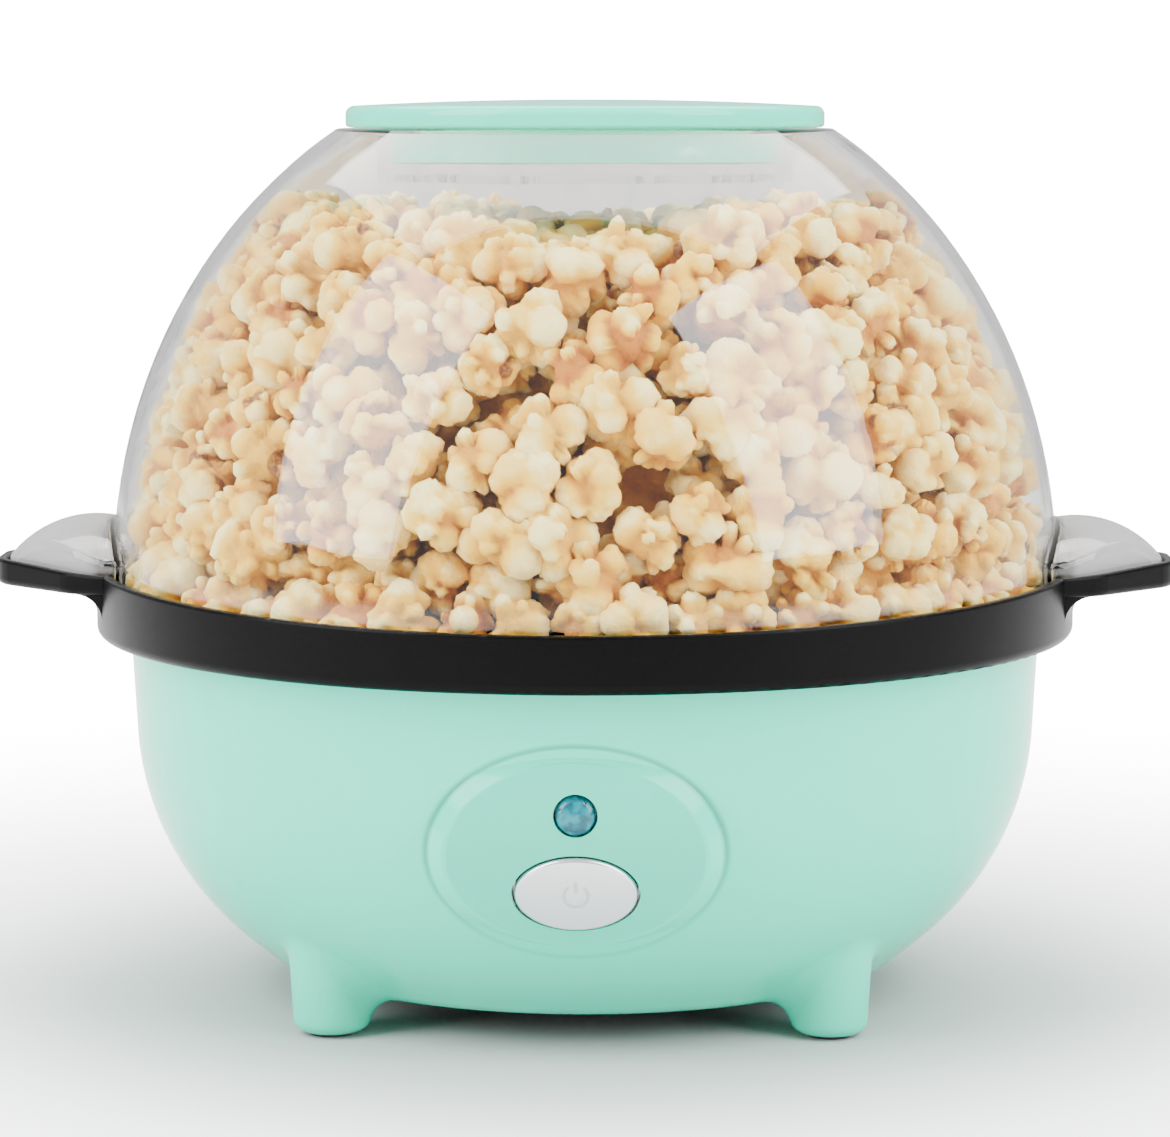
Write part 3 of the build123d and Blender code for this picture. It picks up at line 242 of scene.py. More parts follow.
class Shelf:
    """The shared effects, each a node group that is built once."""

    def __init__(self) -> None:
        """Starts with an empty shelf."""
        self.made: dict[str, bpy.types.NodeTree] = {}

    def start(self, name: str, inputs: dict[str, float], outputs: list[str]) -> tuple[Graph, object]:
        """Opens a new group with float sockets.

        Args:
            name: The group's name.
            inputs: Input names and their default values.
            outputs: Output names.

        Returns:
            The group's graph and its input node.
        """
        tree = bpy.data.node_groups.new(name, "ShaderNodeTree")
        for key, value in inputs.items():
            socket = tree.interface.new_socket(key, in_out="INPUT", socket_type="NodeSocketFloat")
            socket.default_value = value
        for key in outputs:
            tree.interface.new_socket(key, in_out="OUTPUT", socket_type="NodeSocketFloat")
        self.made[name] = tree
        graph = Graph(tree)
        return graph, graph.add("NodeGroupInput")

    def moulded_skin(self) -> None:
        """Builds slow waves of the mould (Flow, from 0 to 1) and a fine orange peel (Peel, a height)."""
        graph, given = self.start("moulded_skin", {"Flow Scale": 14.0, "Peel Scale": 900.0}, ["Flow", "Peel"])
        flow = graph.span(graph.noise(given.outputs["Flow Scale"], 3.0), 0.3, 0.7)
        peel = graph.noise(given.outputs["Peel Scale"], 2.0, 0.55)
        graph.add("NodeGroupOutput", {"Flow": flow, "Peel": peel})

    def settled_dust(self) -> None:
        """Builds specks and film on faces that look up (Mask, from 0 to 1)."""
        graph, given = self.start("settled_dust", {"Amount": 0.2, "Scale": 260.0}, ["Mask"])
        normal = graph.add("ShaderNodeNewGeometry").outputs["Normal"]
        upward = graph.add("ShaderNodeSeparateXYZ", {0: normal}).outputs["Z"]
        facing = graph.span(upward, 0.1, 0.95)
        specks = graph.span(graph.noise(given.outputs["Scale"], 6.0, 0.75), 0.52, 0.78)
        mask = graph.product(facing, specks, given.outputs["Amount"])
        graph.add("NodeGroupOutput", {"Mask": mask})

    def handling_scuffs(self) -> None:
        """Builds fine crossing scratches with slow patches (Mask, from 0 to 1, and Height)."""
        graph, given = self.start("handling_scuffs", {"Scale": 60.0, "Reach": 0.5}, ["Mask", "Height"])
        place = graph.place()
        total = None
        for turn, stretch in ((0.4, 9.0), (-0.9, 12.0), (1.5, 7.0)):
            turned = graph.add("ShaderNodeMapping", {"Vector": place, "Rotation": (turn, 0.3 * turn, turn),
                                                     "Scale": (1.0, stretch, stretch)}).outputs[0]
            lines = graph.span(graph.noise(given.outputs["Scale"], 4.0, 0.6, turned), 0.66, 0.74)
            total = lines if total is None else graph.math("MAXIMUM", total, lines)
        patch = graph.span(graph.noise(22.0, 2.0), 0.42, 0.62)
        mask = graph.product(total, patch, given.outputs["Reach"])
        graph.add("NodeGroupOutput", {"Mask": mask, "Height": graph.math("SUBTRACT", 1.0, mask)})

    def put(self, graph: Graph, name: str, inputs: dict[str, float]) -> bpy.types.Node:
        """Places an effect in a material, and builds the effect the first time.

        Args:
            graph: The material's graph.
            name: The effect's name, which is that of the method that builds it.
            inputs: The effect's input values for this material.

        Returns:
            The group's node.
        """
        if name not in self.made:
            getattr(self, name)()
        return graph.add("ShaderNodeGroup", inputs, node_tree=self.made[name])


SHELF = Shelf()


# Finishes
# The frame's own materials are named by record slot, so finishes are looked up here and never by name in the file.
MADE: dict[str, bpy.types.Material] = {}


@dataclass(frozen=True)
class Finish:
    """A surface finish; each kind fills in its own shader."""

    name: str

    def material(self) -> bpy.types.Material:
        """Gives the finish's material, built the first time it is asked for.

        Returns:
            The material.
        """
        if self.name in MADE:
            return MADE[self.name]
        material = MADE[self.name] = bpy.data.materials.new(self.name)
        material.use_nodes = True
        material.node_tree.nodes.clear()
        graph = Graph(material.node_tree)
        shader = self.shader(graph)
        graph.add("ShaderNodeOutputMaterial", {"Surface": shader})
        return material

    def shader(self, graph: Graph) -> Socket:
        """Builds the finish's shader.

        Args:
            graph: The material's graph.

        Returns:
            The shader's socket.
        """
        raise NotImplementedError


@dataclass(frozen=True)
class MouldedPlastic(Finish):
    """Moulded plastic, from high gloss to satin."""

    colour: Colour = (0.5, 0.5, 0.5)
    deeper: Colour = (0.45, 0.45, 0.45)
    gloss: float = 0.12
    haze: float = 0.2
    coat: float = 0.0
    shine: float = 0.5
    peel: float = 0.02
    peel_scale: float = 900.0
    dust: float = 0.12

    def shader(self, graph: Graph) -> Socket:
        """Builds pigmented plastic with mould flow, orange peel, scuffs and a little dust.

        Args:
            graph: The material's graph.

        Returns:
            The shader's socket.
        """
        skin = SHELF.put(graph, "moulded_skin", {"Flow Scale": 11.0, "Peel Scale": self.peel_scale})
        scuff = SHELF.put(graph, "handling_scuffs", {"Scale": 70.0, "Reach": 0.35})
        dust = SHELF.put(graph, "settled_dust", {"Amount": self.dust, "Scale": 420.0})
        colour = graph.blend(skin.outputs["Flow"], self.colour, self.deeper)
        # tinted paints the panel's shade here; the other plastics pass the pigment through
        colour = graph.blend(dust.outputs["Mask"], self.tinted(graph, colour), (0.72, 0.71, 0.69))
        rough = graph.span(skin.outputs["Flow"], 0.0, 1.0, self.gloss, self.gloss + 0.03)
        rough = graph.math("ADD", rough, graph.product(scuff.outputs["Mask"], self.haze))
        rough = graph.math("ADD", rough, graph.product(dust.outputs["Mask"], 0.5))
        bump = graph.bump(self.peel, skin.outputs["Peel"])
        inputs = {"Base Color": colour, "Roughness": rough, "Normal": bump, "IOR": 1.5,
                  "Specular IOR Level": self.shine, "Coat Weight": self.coat, "Coat Roughness": 0.04}
        return graph.principled(inputs)

    def tinted(self, graph: Graph, colour: Socket) -> Socket:
        """Gives the pigment's colour unchanged; the panel plastic paints shade on parts of it.

        Args:
            graph: The material's graph.
            colour: The pigment's colour.

        Returns:
            The same colour's socket.
        """
        return colour


@dataclass(frozen=True)
class ShadedPanelPlastic(MouldedPlastic):
    """Moulded plastic with a little painted shade on the control panel's face, and more in the crease round it."""

    # The panel's oval, and the tones and reach of the shade painted on its face and in the crease round it
    panel_level: float = 0.052
    panel_half_width: float = 0.0338
    panel_half_height: float = 0.0254
    face_share: float = 0.88
    face_edge: float = 0.03
    face_shade_tone: float = 0.80
    crease_shade_start: float = 0.97
    crease_shade_end: float = 1.05
    crease_shade_tone: float = 0.55
    front_full: float = -0.090
    front_end: float = -0.085
    low_fade: float = 0.35

    def tinted(self, graph: Graph, colour: Socket) -> Socket:
        """Paints shade on the pigment inside the panel's oval, and darker shade in the crease round it.

        Args:
            graph: The material's graph.
            colour: The pigment's colour.

        Returns:
            The colour's socket, with the painted shade.
        """
        place = graph.parts()
        across = graph.math("DIVIDE", place["X"], self.panel_half_width)
        rise = graph.math("DIVIDE", graph.math("SUBTRACT", place["Z"], self.panel_level), self.panel_half_height)
        oval = graph.length(across, rise)
        # The painted shade keeps to the front and weakens towards the panel's bottom, where the face meets the
        # body
        front = graph.span(place["Y"], self.front_full, self.front_end, 1.0, 0.0)
        fade = graph.product(front, graph.span(rise, -1.0, 0.1, self.low_fade, 1.0))
        inside = graph.span(oval, self.face_share - self.face_edge, self.face_share, 1.0, 0.0)
        # face: painted shade on the panel's face, which tilts down from the lamps above
        face = graph.product(fade, inside)
        # crease: painted shade in the concave crease round the raised panel
        crease = graph.product(graph.span(oval, self.crease_shade_start, 1.0),
                               graph.span(oval, 1.0, self.crease_shade_end, 1.0, 0.0), fade)
        # deeper: the colour of the painted shade on the face
        deeper = tuple(self.face_shade_tone * c for c in self.colour)
        colour = graph.blend(face, colour, deeper)
        return graph.blend(crease, colour, tuple(self.crease_shade_tone * c for c in self.colour))


@dataclass(frozen=True)
class ClearPlastic(Finish):
    """Polished clear plastic that lets light through to what it covers."""

    tint: Colour = (0.985, 0.99, 0.99)
    open_tint: Colour = (0.96, 0.97, 0.97)
    gloss: float = 0.02
    bend: float = 1.42
    # An opaque grey share in the thick lugs, painted to stand in for their reflections
    lug_reflection_grey: Colour = (0.33, 0.33, 0.34)
    lug_gloss: float = 0.14
    lug_reflection_share: float = 0.5
    lug_start: float = 0.1165
    lug_full: float = 0.121

    def shader(self, graph: Graph) -> Socket:
        """Builds clear plastic with a painted grey reflection in the thick lugs; rays of lamps pass straight
        through it.

        Args:
            graph: The material's graph.

        Returns:
            The shader's socket.
        """
        scuff = SHELF.put(graph, "handling_scuffs", {"Scale": 55.0, "Reach": 0.22})
        rough = graph.math("ADD", graph.product(scuff.outputs["Mask"], 0.12), self.gloss)
        inputs = {"Base Color": (*self.tint, 1.0), "Roughness": rough, "IOR": self.bend,
                  "Transmission Weight": 1.0}
        glass = graph.principled(inputs)
        path = graph.add("ShaderNodeLightPath")
        lamp = graph.math("MAXIMUM", path.outputs["Is Shadow Ray"], path.outputs["Is Diffuse Ray"])
        # Painted grey reflection in the lugs, beyond lug_start from the axis
        outward = graph.math("ABSOLUTE", graph.parts()["X"])
        lug_painted_reflection = graph.product(graph.span(outward, self.lug_start, self.lug_full), self.lug_reflection_share)
        body = graph.principled({"Base Color": (*self.lug_reflection_grey, 1.0), "Roughness": self.lug_gloss,
                                 "IOR": self.bend})
        glass = graph.add("ShaderNodeMixShader", {0: lug_painted_reflection, 1: glass, 2: body}).outputs[0]
        open_way = graph.add("ShaderNodeBsdfTransparent", {"Color": (*self.open_tint, 1.0)}).outputs[0]
        return graph.add("ShaderNodeMixShader", {0: lamp, 1: glass, 2: open_way}).outputs[0]


@dataclass(frozen=True)
class Metal(Finish):
    """Bare or coated metal with fine brushing."""

    colour: Colour = (0.6, 0.6, 0.6)
    darker: Colour = (0.45, 0.45, 0.45)
    gloss: float = 0.3
    metallic: float = 1.0
    grain: float = 0.05

    def shader(self, graph: Graph) -> Socket:
        """Builds metal with slow staining, fine grain and scuffs.

        Args:
            graph: The material's graph.

        Returns:
            The shader's socket.
        """
        skin = SHELF.put(graph, "moulded_skin", {"Flow Scale": 40.0, "Peel Scale": 1500.0})
        scuff = SHELF.put(graph, "handling_scuffs", {"Scale": 140.0, "Reach": 0.6})
        colour = graph.blend(skin.outputs["Flow"], self.colour, self.darker)
        rough = graph.span(skin.outputs["Flow"], 0.0, 1.0, self.gloss, self.gloss + 0.1)
        rough = graph.math("ADD", rough, graph.product(scuff.outputs["Mask"], 0.2))
        bump = graph.bump(self.grain, skin.outputs["Peel"])
        inputs = {"Base Color": colour, "Roughness": rough, "Normal": bump, "Metallic": self.metallic}
        return graph.principled(inputs)


@dataclass(frozen=True)
class TintedLens(Finish):
    """Faceted tinted plastic, clouded between two depths of one colour."""

    colour: Colour = (0.002, 0.19, 0.23)
    deep: Colour = (0.001, 0.07, 0.10)

    def shader(self, graph: Graph) -> Socket:
        """Builds the glossy tinted body of the lens.

        Args:
            graph: The material's graph.

        Returns:
            The shader's socket.
        """
        cloud = graph.span(graph.noise(420.0, 2.0), 0.35, 0.65)
        colour = graph.blend(cloud, self.colour, self.deep)
        inputs = {"Base Color": colour, "Roughness": 0.1, "IOR": 1.5, "Specular IOR Level": 0.35}
        return graph.principled(inputs)


@dataclass(frozen=True)
class PoppedCorn(Finish):
    """Popped corn: pale foam, buttery patches, browned hull in the creases, and painted shade deep in them."""

    pale: Colour = (0.86, 0.56, 0.07)
    foam: Colour = (0.95, 0.80, 0.33)
    butter: Colour = (0.88, 0.47, 0.002)
    scorch_and_crease_shade: Colour = (0.50, 0.16, 0.001)
    # A browned orange that is partly real and partly painted shade deep in the creases
    hull: Colour = (0.18, 0.04, 0.002)

    def shader(self, graph: Graph) -> Socket:
        """Builds the flakes' skin from their own crease, tone and hull attributes, with painted shade deep in the
        creases.

        Args:
            graph: The material's graph.

        Returns:
            The shader's socket.
        """
        crease, tone, hull = (
            graph.add("ShaderNodeAttribute", attribute_name=name).outputs["Fac"]
            for name in ("crease", "tone", "hull")
        )
        patch = graph.noise(75.0, 4.0, 0.6)
        fine = graph.noise(900.0, 3.0, 0.6)
        high = graph.span(crease, 0.15, 0.5, 1.0, 0.0)
        colour = graph.blend(high, self.pale, self.foam)
        colour = graph.blend(graph.span(crease, 0.25, 0.6, 0.0, 0.45), colour, self.butter)
        buttered = graph.product(graph.span(patch, 0.40, 0.58), graph.span(tone, 0.1, 0.9, 0.25, 0.9))
        colour = graph.blend(buttered, colour, self.butter)
        # deep: painted shade in the deep creases, in a partly real browned orange, stronger on flakes of high tone
        deep = graph.product(graph.span(crease, 0.42, 0.85), graph.span(tone, 0.0, 1.0, 0.3, 1.0))
        colour = graph.blend(deep, colour, self.scorch_and_crease_shade)
        flecks = graph.product(graph.span(hull, 0.45, 0.75), graph.span(fine, 0.35, 0.6, 0.5, 1.0))
        colour = graph.blend(flecks, colour, self.hull)
        height = graph.math("ADD", graph.product(graph.noise(2200.0, 4.0, 0.65), 0.4),
                            graph.noise(500.0, 3.0, 0.6))
        bump = graph.bump(0.6, height, 0.0009)
        rough = graph.span(flecks, 0.0, 1.0, 0.62, 0.28)
        inputs = {"Base Color": colour, "Roughness": rough, "Normal": bump, "IOR": 1.45,
                  "Sheen Weight": 0.1}
        return graph.principled(inputs)


@dataclass(frozen=True)
class Rubber(Finish):
    """Dark matt rubber."""

    colour: Colour = (0.02, 0.02, 0.022)

    def shader(self, graph: Graph) -> Socket:
        """Builds rubber with a fine matt grain and dust.

        Args:
            graph: The material's graph.

        Returns:
            The shader's socket.
        """
        skin = SHELF.put(graph, "moulded_skin", {"Flow Scale": 50.0, "Peel Scale": 2600.0})
        dust = SHELF.put(graph, "settled_dust", {"Amount": 0.4, "Scale": 600.0})
        colour = graph.blend(skin.outputs["Flow"], self.colour, tuple(1.6 * c for c in self.colour))
        colour = graph.blend(dust.outputs["Mask"], colour, (0.3, 0.3, 0.3))
        bump = graph.bump(0.25, skin.outputs["Peel"])
        return graph.principled({"Base Color": colour, "Roughness": 0.75, "Normal": bump})


@dataclass(frozen=True)
class StudioPaper(Finish):
    """Plain pale paper under and behind the object, lit from behind as well."""

    colour: Colour = (0.93, 0.93, 0.93)
    glow: float = 16.0
    glow_start: float = 0.12
    glow_full: float = 0.60
    # Tone and reach of the shadow painted on the paper round the object
    shade: float = 0.5
    shade_full: float = 0.07
    shade_end: float = 0.21

    def shader(self, graph: Graph) -> Socket:
        """Builds matt paper that glows to the camera far out, with a painted shadow round the object.

        Args:
            graph: The material's graph.

        Returns:
            The shader's socket.
        """
        place = graph.parts()
        away = graph.length(place["X"], place["Y"])
        far = graph.span(away, self.glow_start, self.glow_full, 0.0, self.glow)
        seen = graph.add("ShaderNodeLightPath").outputs["Is Camera Ray"]
        # near: painted shadow on the paper round the object
        near = graph.span(away, self.shade_full, self.shade_end, 1.0, 0.0)
        colour = graph.blend(near, self.colour, tuple(self.shade * c for c in self.colour))
        inputs = {"Base Color": colour, "Roughness": 0.8, "Specular IOR Level": 0.2,
                  "Emission Color": (1.0, 1.0, 1.0, 1.0), "Emission Strength": graph.product(far, seen)}
        return graph.principled(inputs)


MINT_LOOK = ((0.022, 0.670, 0.450), (0.020, 0.645, 0.433), 0.10, 0.1, 0.05, 0.22, 0.02)


class Finishes(Enum):
    """Every finish on the popcorn maker, by what it is."""

    MINT = MouldedPlastic("mint_gloss", *MINT_LOOK)
    BLACK = MouldedPlastic("black_satin", (0.0022, 0.0022, 0.0022), (0.0016, 0.0016, 0.0016), 0.28, 0.2,
                           0.0, 0.05, 0.12, 2200.0, 0.05)
    # The housing's mint, with painted shade on the control panel
    MINT_BASE_SHADED_PANEL = ShadedPanelPlastic("mint_gloss_panel_shade", *MINT_LOOK)
    CLEAR = ClearPlastic("clear_bowl_plastic")
    NONSTICK = Metal("nonstick_coat", (0.03, 0.03, 0.033), (0.02, 0.02, 0.022), 0.35, 0.0, 0.3)
    SHEATH = Metal("sheath_alloy", (0.30, 0.27, 0.24), (0.18, 0.13, 0.10), 0.45)
    STEEL = Metal("brushed_steel", (0.62, 0.62, 0.63), (0.50, 0.50, 0.52), 0.28)
    ZINC = Metal("zinc_steel", (0.58, 0.58, 0.60), (0.42, 0.42, 0.44), 0.35)
    ALUMINIUM = Metal("satin_aluminium", (0.72, 0.72, 0.73), (0.62, 0.62, 0.63), 0.38)
    COPPER = Metal("enamelled_copper", (0.62, 0.26, 0.10), (0.45, 0.17, 0.07), 0.3)
    FERRITE = Metal("dark_ferrite", (0.09, 0.09, 0.10), (0.06, 0.06, 0.07), 0.5, 0.4)
    BRASS = Metal("turned_brass", (0.70, 0.50, 0.20), (0.55, 0.37, 0.14), 0.3)
    SILVER = Metal("silver_coat", (0.72, 0.73, 0.75), (0.68, 0.69, 0.71), 0.16, 0.75, 0.02)
    SYMBOL = Metal("symbol_grey", (0.50, 0.51, 0.53), (0.45, 0.46, 0.48), 0.3, 0.4)
    LENS = TintedLens("tinted_lens_body")
    CORN = PoppedCorn("popped_corn")
    RUBBER = Rubber("matt_rubber")
    NATURAL = MouldedPlastic("natural_plastic", (0.62, 0.58, 0.48), (0.58, 0.54, 0.44), 0.4, 0.2)
    WHITE = MouldedPlastic("white_moulding", (0.72, 0.72, 0.70), (0.68, 0.68, 0.66), 0.35, 0.2)
    PAPER = StudioPaper("studio_paper")

    def dress(self, *objects: bpy.types.Object) -> None:
        """Gives objects this finish in every slot.

        Args:
            objects: The pieces to dress.
        """
        for piece in objects:
            piece.data.materials.clear()
            piece.data.materials.append(self.value.material())


# Surfaces
def piece_from(name: str, points: np.ndarray, faces: np.ndarray, smooth: bool = True,
               marks: dict[str, np.ndarray] | None = None) -> bpy.types.Object:
    """Makes an object at the origin from whole arrays.

    Args:
        name: The piece's name.
        points: One row of x, y, z for each vertex.
        faces: One row of vertex numbers for each face; every row has the same length.
        smooth: Whether the faces shade smoothly.
        marks: Float attributes for each vertex, by name.

    Returns:
        The new object, linked into the scene.
    """
    mesh = bpy.data.meshes.new(name)
    count, corners = faces.shape
    mesh.vertices.add(len(points))
    mesh.vertices.foreach_set("co", np.asarray(points, np.float32).ravel())
    mesh.loops.add(count * corners)
    mesh.loops.foreach_set("vertex_index", np.asarray(faces, np.int32).ravel())
    mesh.polygons.add(count)
    mesh.polygons.foreach_set("loop_start", np.arange(count, dtype=np.int32) * corners)
    mesh.polygons.foreach_set("use_smooth", np.full(count, smooth))
    for key, values in (marks or {}).items():
        mesh.attributes.new(key, "FLOAT", "POINT").data.foreach_set("value", values.astype(np.float32))
    mesh.update(calc_edges=True)
    mesh.validate()
    piece = bpy.data.objects.new(name, mesh)
    bpy.context.scene.collection.objects.link(piece)
    return piece


def grid_faces(rows: int, columns: int, wrap_rows: bool = False, wrap_columns: bool = False) -> np.ndarray:
    """Numbers the quads of a grid of points, stored row by row.

    Args:
        rows: Points along the first parameter.
        columns: Points along the second parameter.
        wrap_rows: Whether the last row joins the first.
        wrap_columns: Whether the last column joins the first.

    Returns:
        One row of four vertex numbers for each quad.
    """
    i, j = np.meshgrid(np.arange(rows if wrap_rows else rows - 1),
                       np.arange(columns if wrap_columns else columns - 1), indexing="ij")
    k, m = (i + 1) % rows, (j + 1) % columns
    return np.stack([i * columns + j, k * columns + j, k * columns + m, i * columns + m], -1).reshape(-1, 4)


def around(radius: object, turn: np.ndarray, level: np.ndarray) -> np.ndarray:
    """Points round the Z axis: (radius times cos turn, radius times sin turn, level).

    Args:
        radius: Distance from the axis, one or one for each point.
        turn: Turns, in radians.
        level: Levels.

    Returns:
        The points, with x, y and z in the last place.
    """
    return np.stack([radius * np.cos(turn), radius * np.sin(turn), level], -1)


def ball_grid(rows: int, columns: int) -> tuple[np.ndarray, np.ndarray]:
    """Directions and faces of a ball: rings between two poles, each pole one point.

    The direction at latitude t and longitude s is (cos s sin t, sin s sin t, cos t).

    Args:
        rows: Rings between the poles.
        columns: Points on each ring.

    Returns:
        Unit directions, and triangles that face outwards.
    """
    t = (np.arange(rows) + 1) * math.pi / (rows + 1)
    s = np.arange(columns) * 2 * math.pi / columns
    tt, ss = np.meshgrid(t, s, indexing="ij")
    ring = around(np.sin(tt), ss, np.cos(tt)).reshape(-1, 3)
    points = np.vstack([ring, [[0, 0, 1], [0, 0, -1]]])
    quads = grid_faces(rows, columns, wrap_columns=True)
    sides = np.vstack([quads[:, [0, 1, 2]], quads[:, [0, 2, 3]]])
    j = np.arange(columns)
    k = (j + 1) % columns
    top = np.stack([np.full(columns, rows * columns), j, k], -1)
    last = (rows - 1) * columns
    bottom = np.stack([np.full(columns, rows * columns + 1), last + k, last + j], -1)
    return points, np.vstack([sides, top, bottom])


def smoothstep(low: float, high: float, value: np.ndarray) -> np.ndarray:
    """Rises smoothly from 0 at low to 1 at high.

    Args:
        low: Where the rise starts.
        high: Where the rise ends.
        value: Values to map.

    Returns:
        The mapped values.
    """
    t = np.clip((value - low) / (high - low), 0, 1)
    return t * t * (3 - 2 * t)


# Sub-assemblies
class SubAssembly:
    """A part of the popcorn maker: what its frame nodes wear, and any new pieces."""

    wears: ClassVar[dict[Finishes, str]] = {}

    def build(self) -> list[bpy.types.Object]:
        """Builds the new pieces; most sub-assemblies have none.

        Returns:
            The new pieces.
        """
        return []

    def dress(self) -> None:
        """Gives every frame node its finish."""
        for finish, names in self.wears.items():
            finish.dress(*(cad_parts[name] for name in names.split()))


@dataclass
class Housing(SubAssembly):
    """The mint base with its feet, underside cover and cord gland, and every screw."""

    wears = {
        Finishes.MINT_BASE_SHADED_PANEL: "base_housing",
        Finishes.BLACK: "bottom_cover",
        Finishes.RUBBER: "rubber_feet cord_gland",
        Finishes.ZINC: "bottom_screws ring_screws pan_screws motor_screws bracket_screws",
        Finishes.WHITE: "terminal_block",
    }


@dataclass
class Collar(SubAssembly):
    """The black collar with its two tray handles."""

    wears = {Finishes.BLACK: "base_ring"}


@dataclass
class Bowl(SubAssembly):
    """The clear bowl and the mint measuring cap on it."""

    wears = {Finishes.CLEAR: "clear_bowl", Finishes.MINT: "measuring_cap"}


@dataclass
class ControlPanel(SubAssembly):
    """The oval button, the indicator lens and what is behind them."""

    face_radius: float = 0.062
    face_tilt: float = math.radians(22.0)
    face_reach: float = 0.10802
    face_level: float = 0.043
    symbol_radius: float = 0.0027
    symbol_width: float = 0.00045
    symbol_height: float = 0.00018
    symbol_gap: float = 38.0
    bar_low: float = 0.0006
    bar_high: float = 0.0033
    lens_lap: float = 0.0014
    wears = {
        Finishes.SILVER: "power_button",
        Finishes.WHITE: "push_switch switch_bracket indicator_lamp",
        Finishes.ZINC: "button_spring",
    }

    def face_depth(self, x: np.ndarray, z: np.ndarray) -> np.ndarray:
        """Y of the button's face: a ball of the face radius whose middle is tilted upwards.

        Args:
            x: Places across the button.
            z: Levels.

        Returns:
            The face's y at each place.
        """
        middle_y = -self.face_reach + self.face_radius * math.cos(self.face_tilt)
        middle_z = self.face_level + self.face_radius * math.sin(self.face_tilt)
        return middle_y - np.sqrt(self.face_radius ** 2 - x ** 2 - (z - middle_z) ** 2)

    def raised_band(self, name: str, x: np.ndarray, z: np.ndarray) -> bpy.types.Object:
        """A low rounded band along a line drawn on the button's face, closed at both ends.

        Each cross-section is an ellipse whose middle lies on the face, as deep inside it as it stands out; its
        size falls to nothing at both ends as the thirtieth power of the way along.

        Args:
            name: The piece's name.
            x: Places of the line across the button.
            z: Levels of the line.

        Returns:
            The band.
        """
        along = np.stack([np.gradient(x), np.gradient(z)], -1)
        along /= np.linalg.norm(along, axis=1, keepdims=True)
        rings, sides = len(x), 12
        turn = np.arange(sides) * 2 * math.pi / sides
        taper = np.sqrt(1 - np.linspace(-0.995, 0.995, rings) ** 30)[:, None]
        out = self.symbol_width * taper * np.cos(turn)
        lift = self.symbol_height * taper * np.sin(turn)
        px, pz = x[:, None] + along[:, 1:] * out, z[:, None] - along[:, :1] * out
        ring = np.stack([px, self.face_depth(px, pz) - lift, pz], -1).reshape(-1, 3)
        ends = np.stack([x[[0, -1]], self.face_depth(x[[0, -1]], z[[0, -1]]), z[[0, -1]]], -1)
        return piece_from(name, np.vstack([ring, ends]), ball_grid(rings, sides)[1])

    def build(self) -> list[bpy.types.Object]:
        """Builds the button's raised power symbol and the faceted lens.

        Returns:
            The new pieces.
        """
        turn = np.radians(np.linspace(90 + self.symbol_gap, 450 - self.symbol_gap, 64))
        level = self.face_level
        ring = self.raised_band("power_symbol_ring", self.symbol_radius * np.cos(turn),
                                level + self.symbol_radius * np.sin(turn))
        bar = self.raised_band("power_symbol_bar", np.zeros(16),
                               level + np.linspace(self.bar_low, self.bar_high, 16))
        for band in (ring, bar):
            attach(band, "button")
        lens = self.faceted_lens()
        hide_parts("indicator_lens")
        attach(lens, "base")
        self.bands, self.lens = [ring, bar], lens
        return [ring, bar, lens]

    def faceted_lens(self) -> bpy.types.Object:
        """The indicator's cut front, on its round body and flange, closed at both ends.

        Rings of points are set by radius, depth behind the front and turn. Every other ring
        of the front is turned by half a step, so that flat triangles meet there as on a cut
        stone; the rings behind it follow the body and the flange.

        Returns:
            The lens.
        """
        low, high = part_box("indicator_lens")
        middle_x, middle_z = (low.x + high.x) / 2, (low.z + high.z) / 2
        flange, deep = (high.x - low.x) / 2, high.y - low.y
        body = flange - self.lens_lap
        profile = np.array([(0.25 * body, 0.0001, 0.0), (0.50 * body, 0.0005, 0.5), (0.74 * body, 0.0007, 0.0),
                            (0.93 * body, 0.0012, 0.5), (body, 0.0016, 0.0), (body, deep - 0.0015, 0.0),
                            (flange, deep - 0.0014, 0.0), (flange, deep, 0.0)])
        sides = 24
        turn = -(np.arange(sides) + profile[:, 2:]) * 2 * math.pi / sides
        radius, depth = profile[:, :1], np.repeat(profile[:, 1:2], sides, 1)
        ring = np.stack([middle_x + radius * np.cos(turn), low.y + depth, middle_z - radius * np.sin(turn)], -1)
        ends = [[middle_x, low.y, middle_z], [middle_x, high.y, middle_z]]
        return piece_from("indicator_lens_cut", np.vstack([ring.reshape(-1, 3), ends]),
                          ball_grid(len(profile), sides)[1], smooth=False)

    def dress(self) -> None:
        """Gives the nodes, the symbol and the lens their finishes."""
        super().dress()
        Finishes.SYMBOL.dress(*self.bands)
        Finishes.LENS.dress(self.lens)


@dataclass
class Heater(SubAssembly):
    """The pan and what heats it."""

    wears = {
        Finishes.NONSTICK: "heating_pan",
        Finishes.SHEATH: "heating_element",
        Finishes.STEEL: "element_clamps heat_shield standoffs",
        Finishes.ALUMINIUM: "thermostat",
        Finishes.ZINC: "thermal_fuse",
    }


@dataclass
class Drive(SubAssembly):
    """The gear motor and the stirrer that it turns."""

    wears = {
        Finishes.STEEL: "motor_can motor_middle_plate motor_cover gear_pins stator_poles stir_spindle stir_rod "
                        "shaft_coupling",
        Finishes.NATURAL: "rotor_stage_gear middle_gear output_gear",
        Finishes.COPPER: "stator_coil",
        Finishes.FERRITE: "rotor",
        Finishes.BRASS: "shaft_bush",
        Finishes.RUBBER: "shaft_seal",
        Finishes.BLACK: "stir_hub",
    }


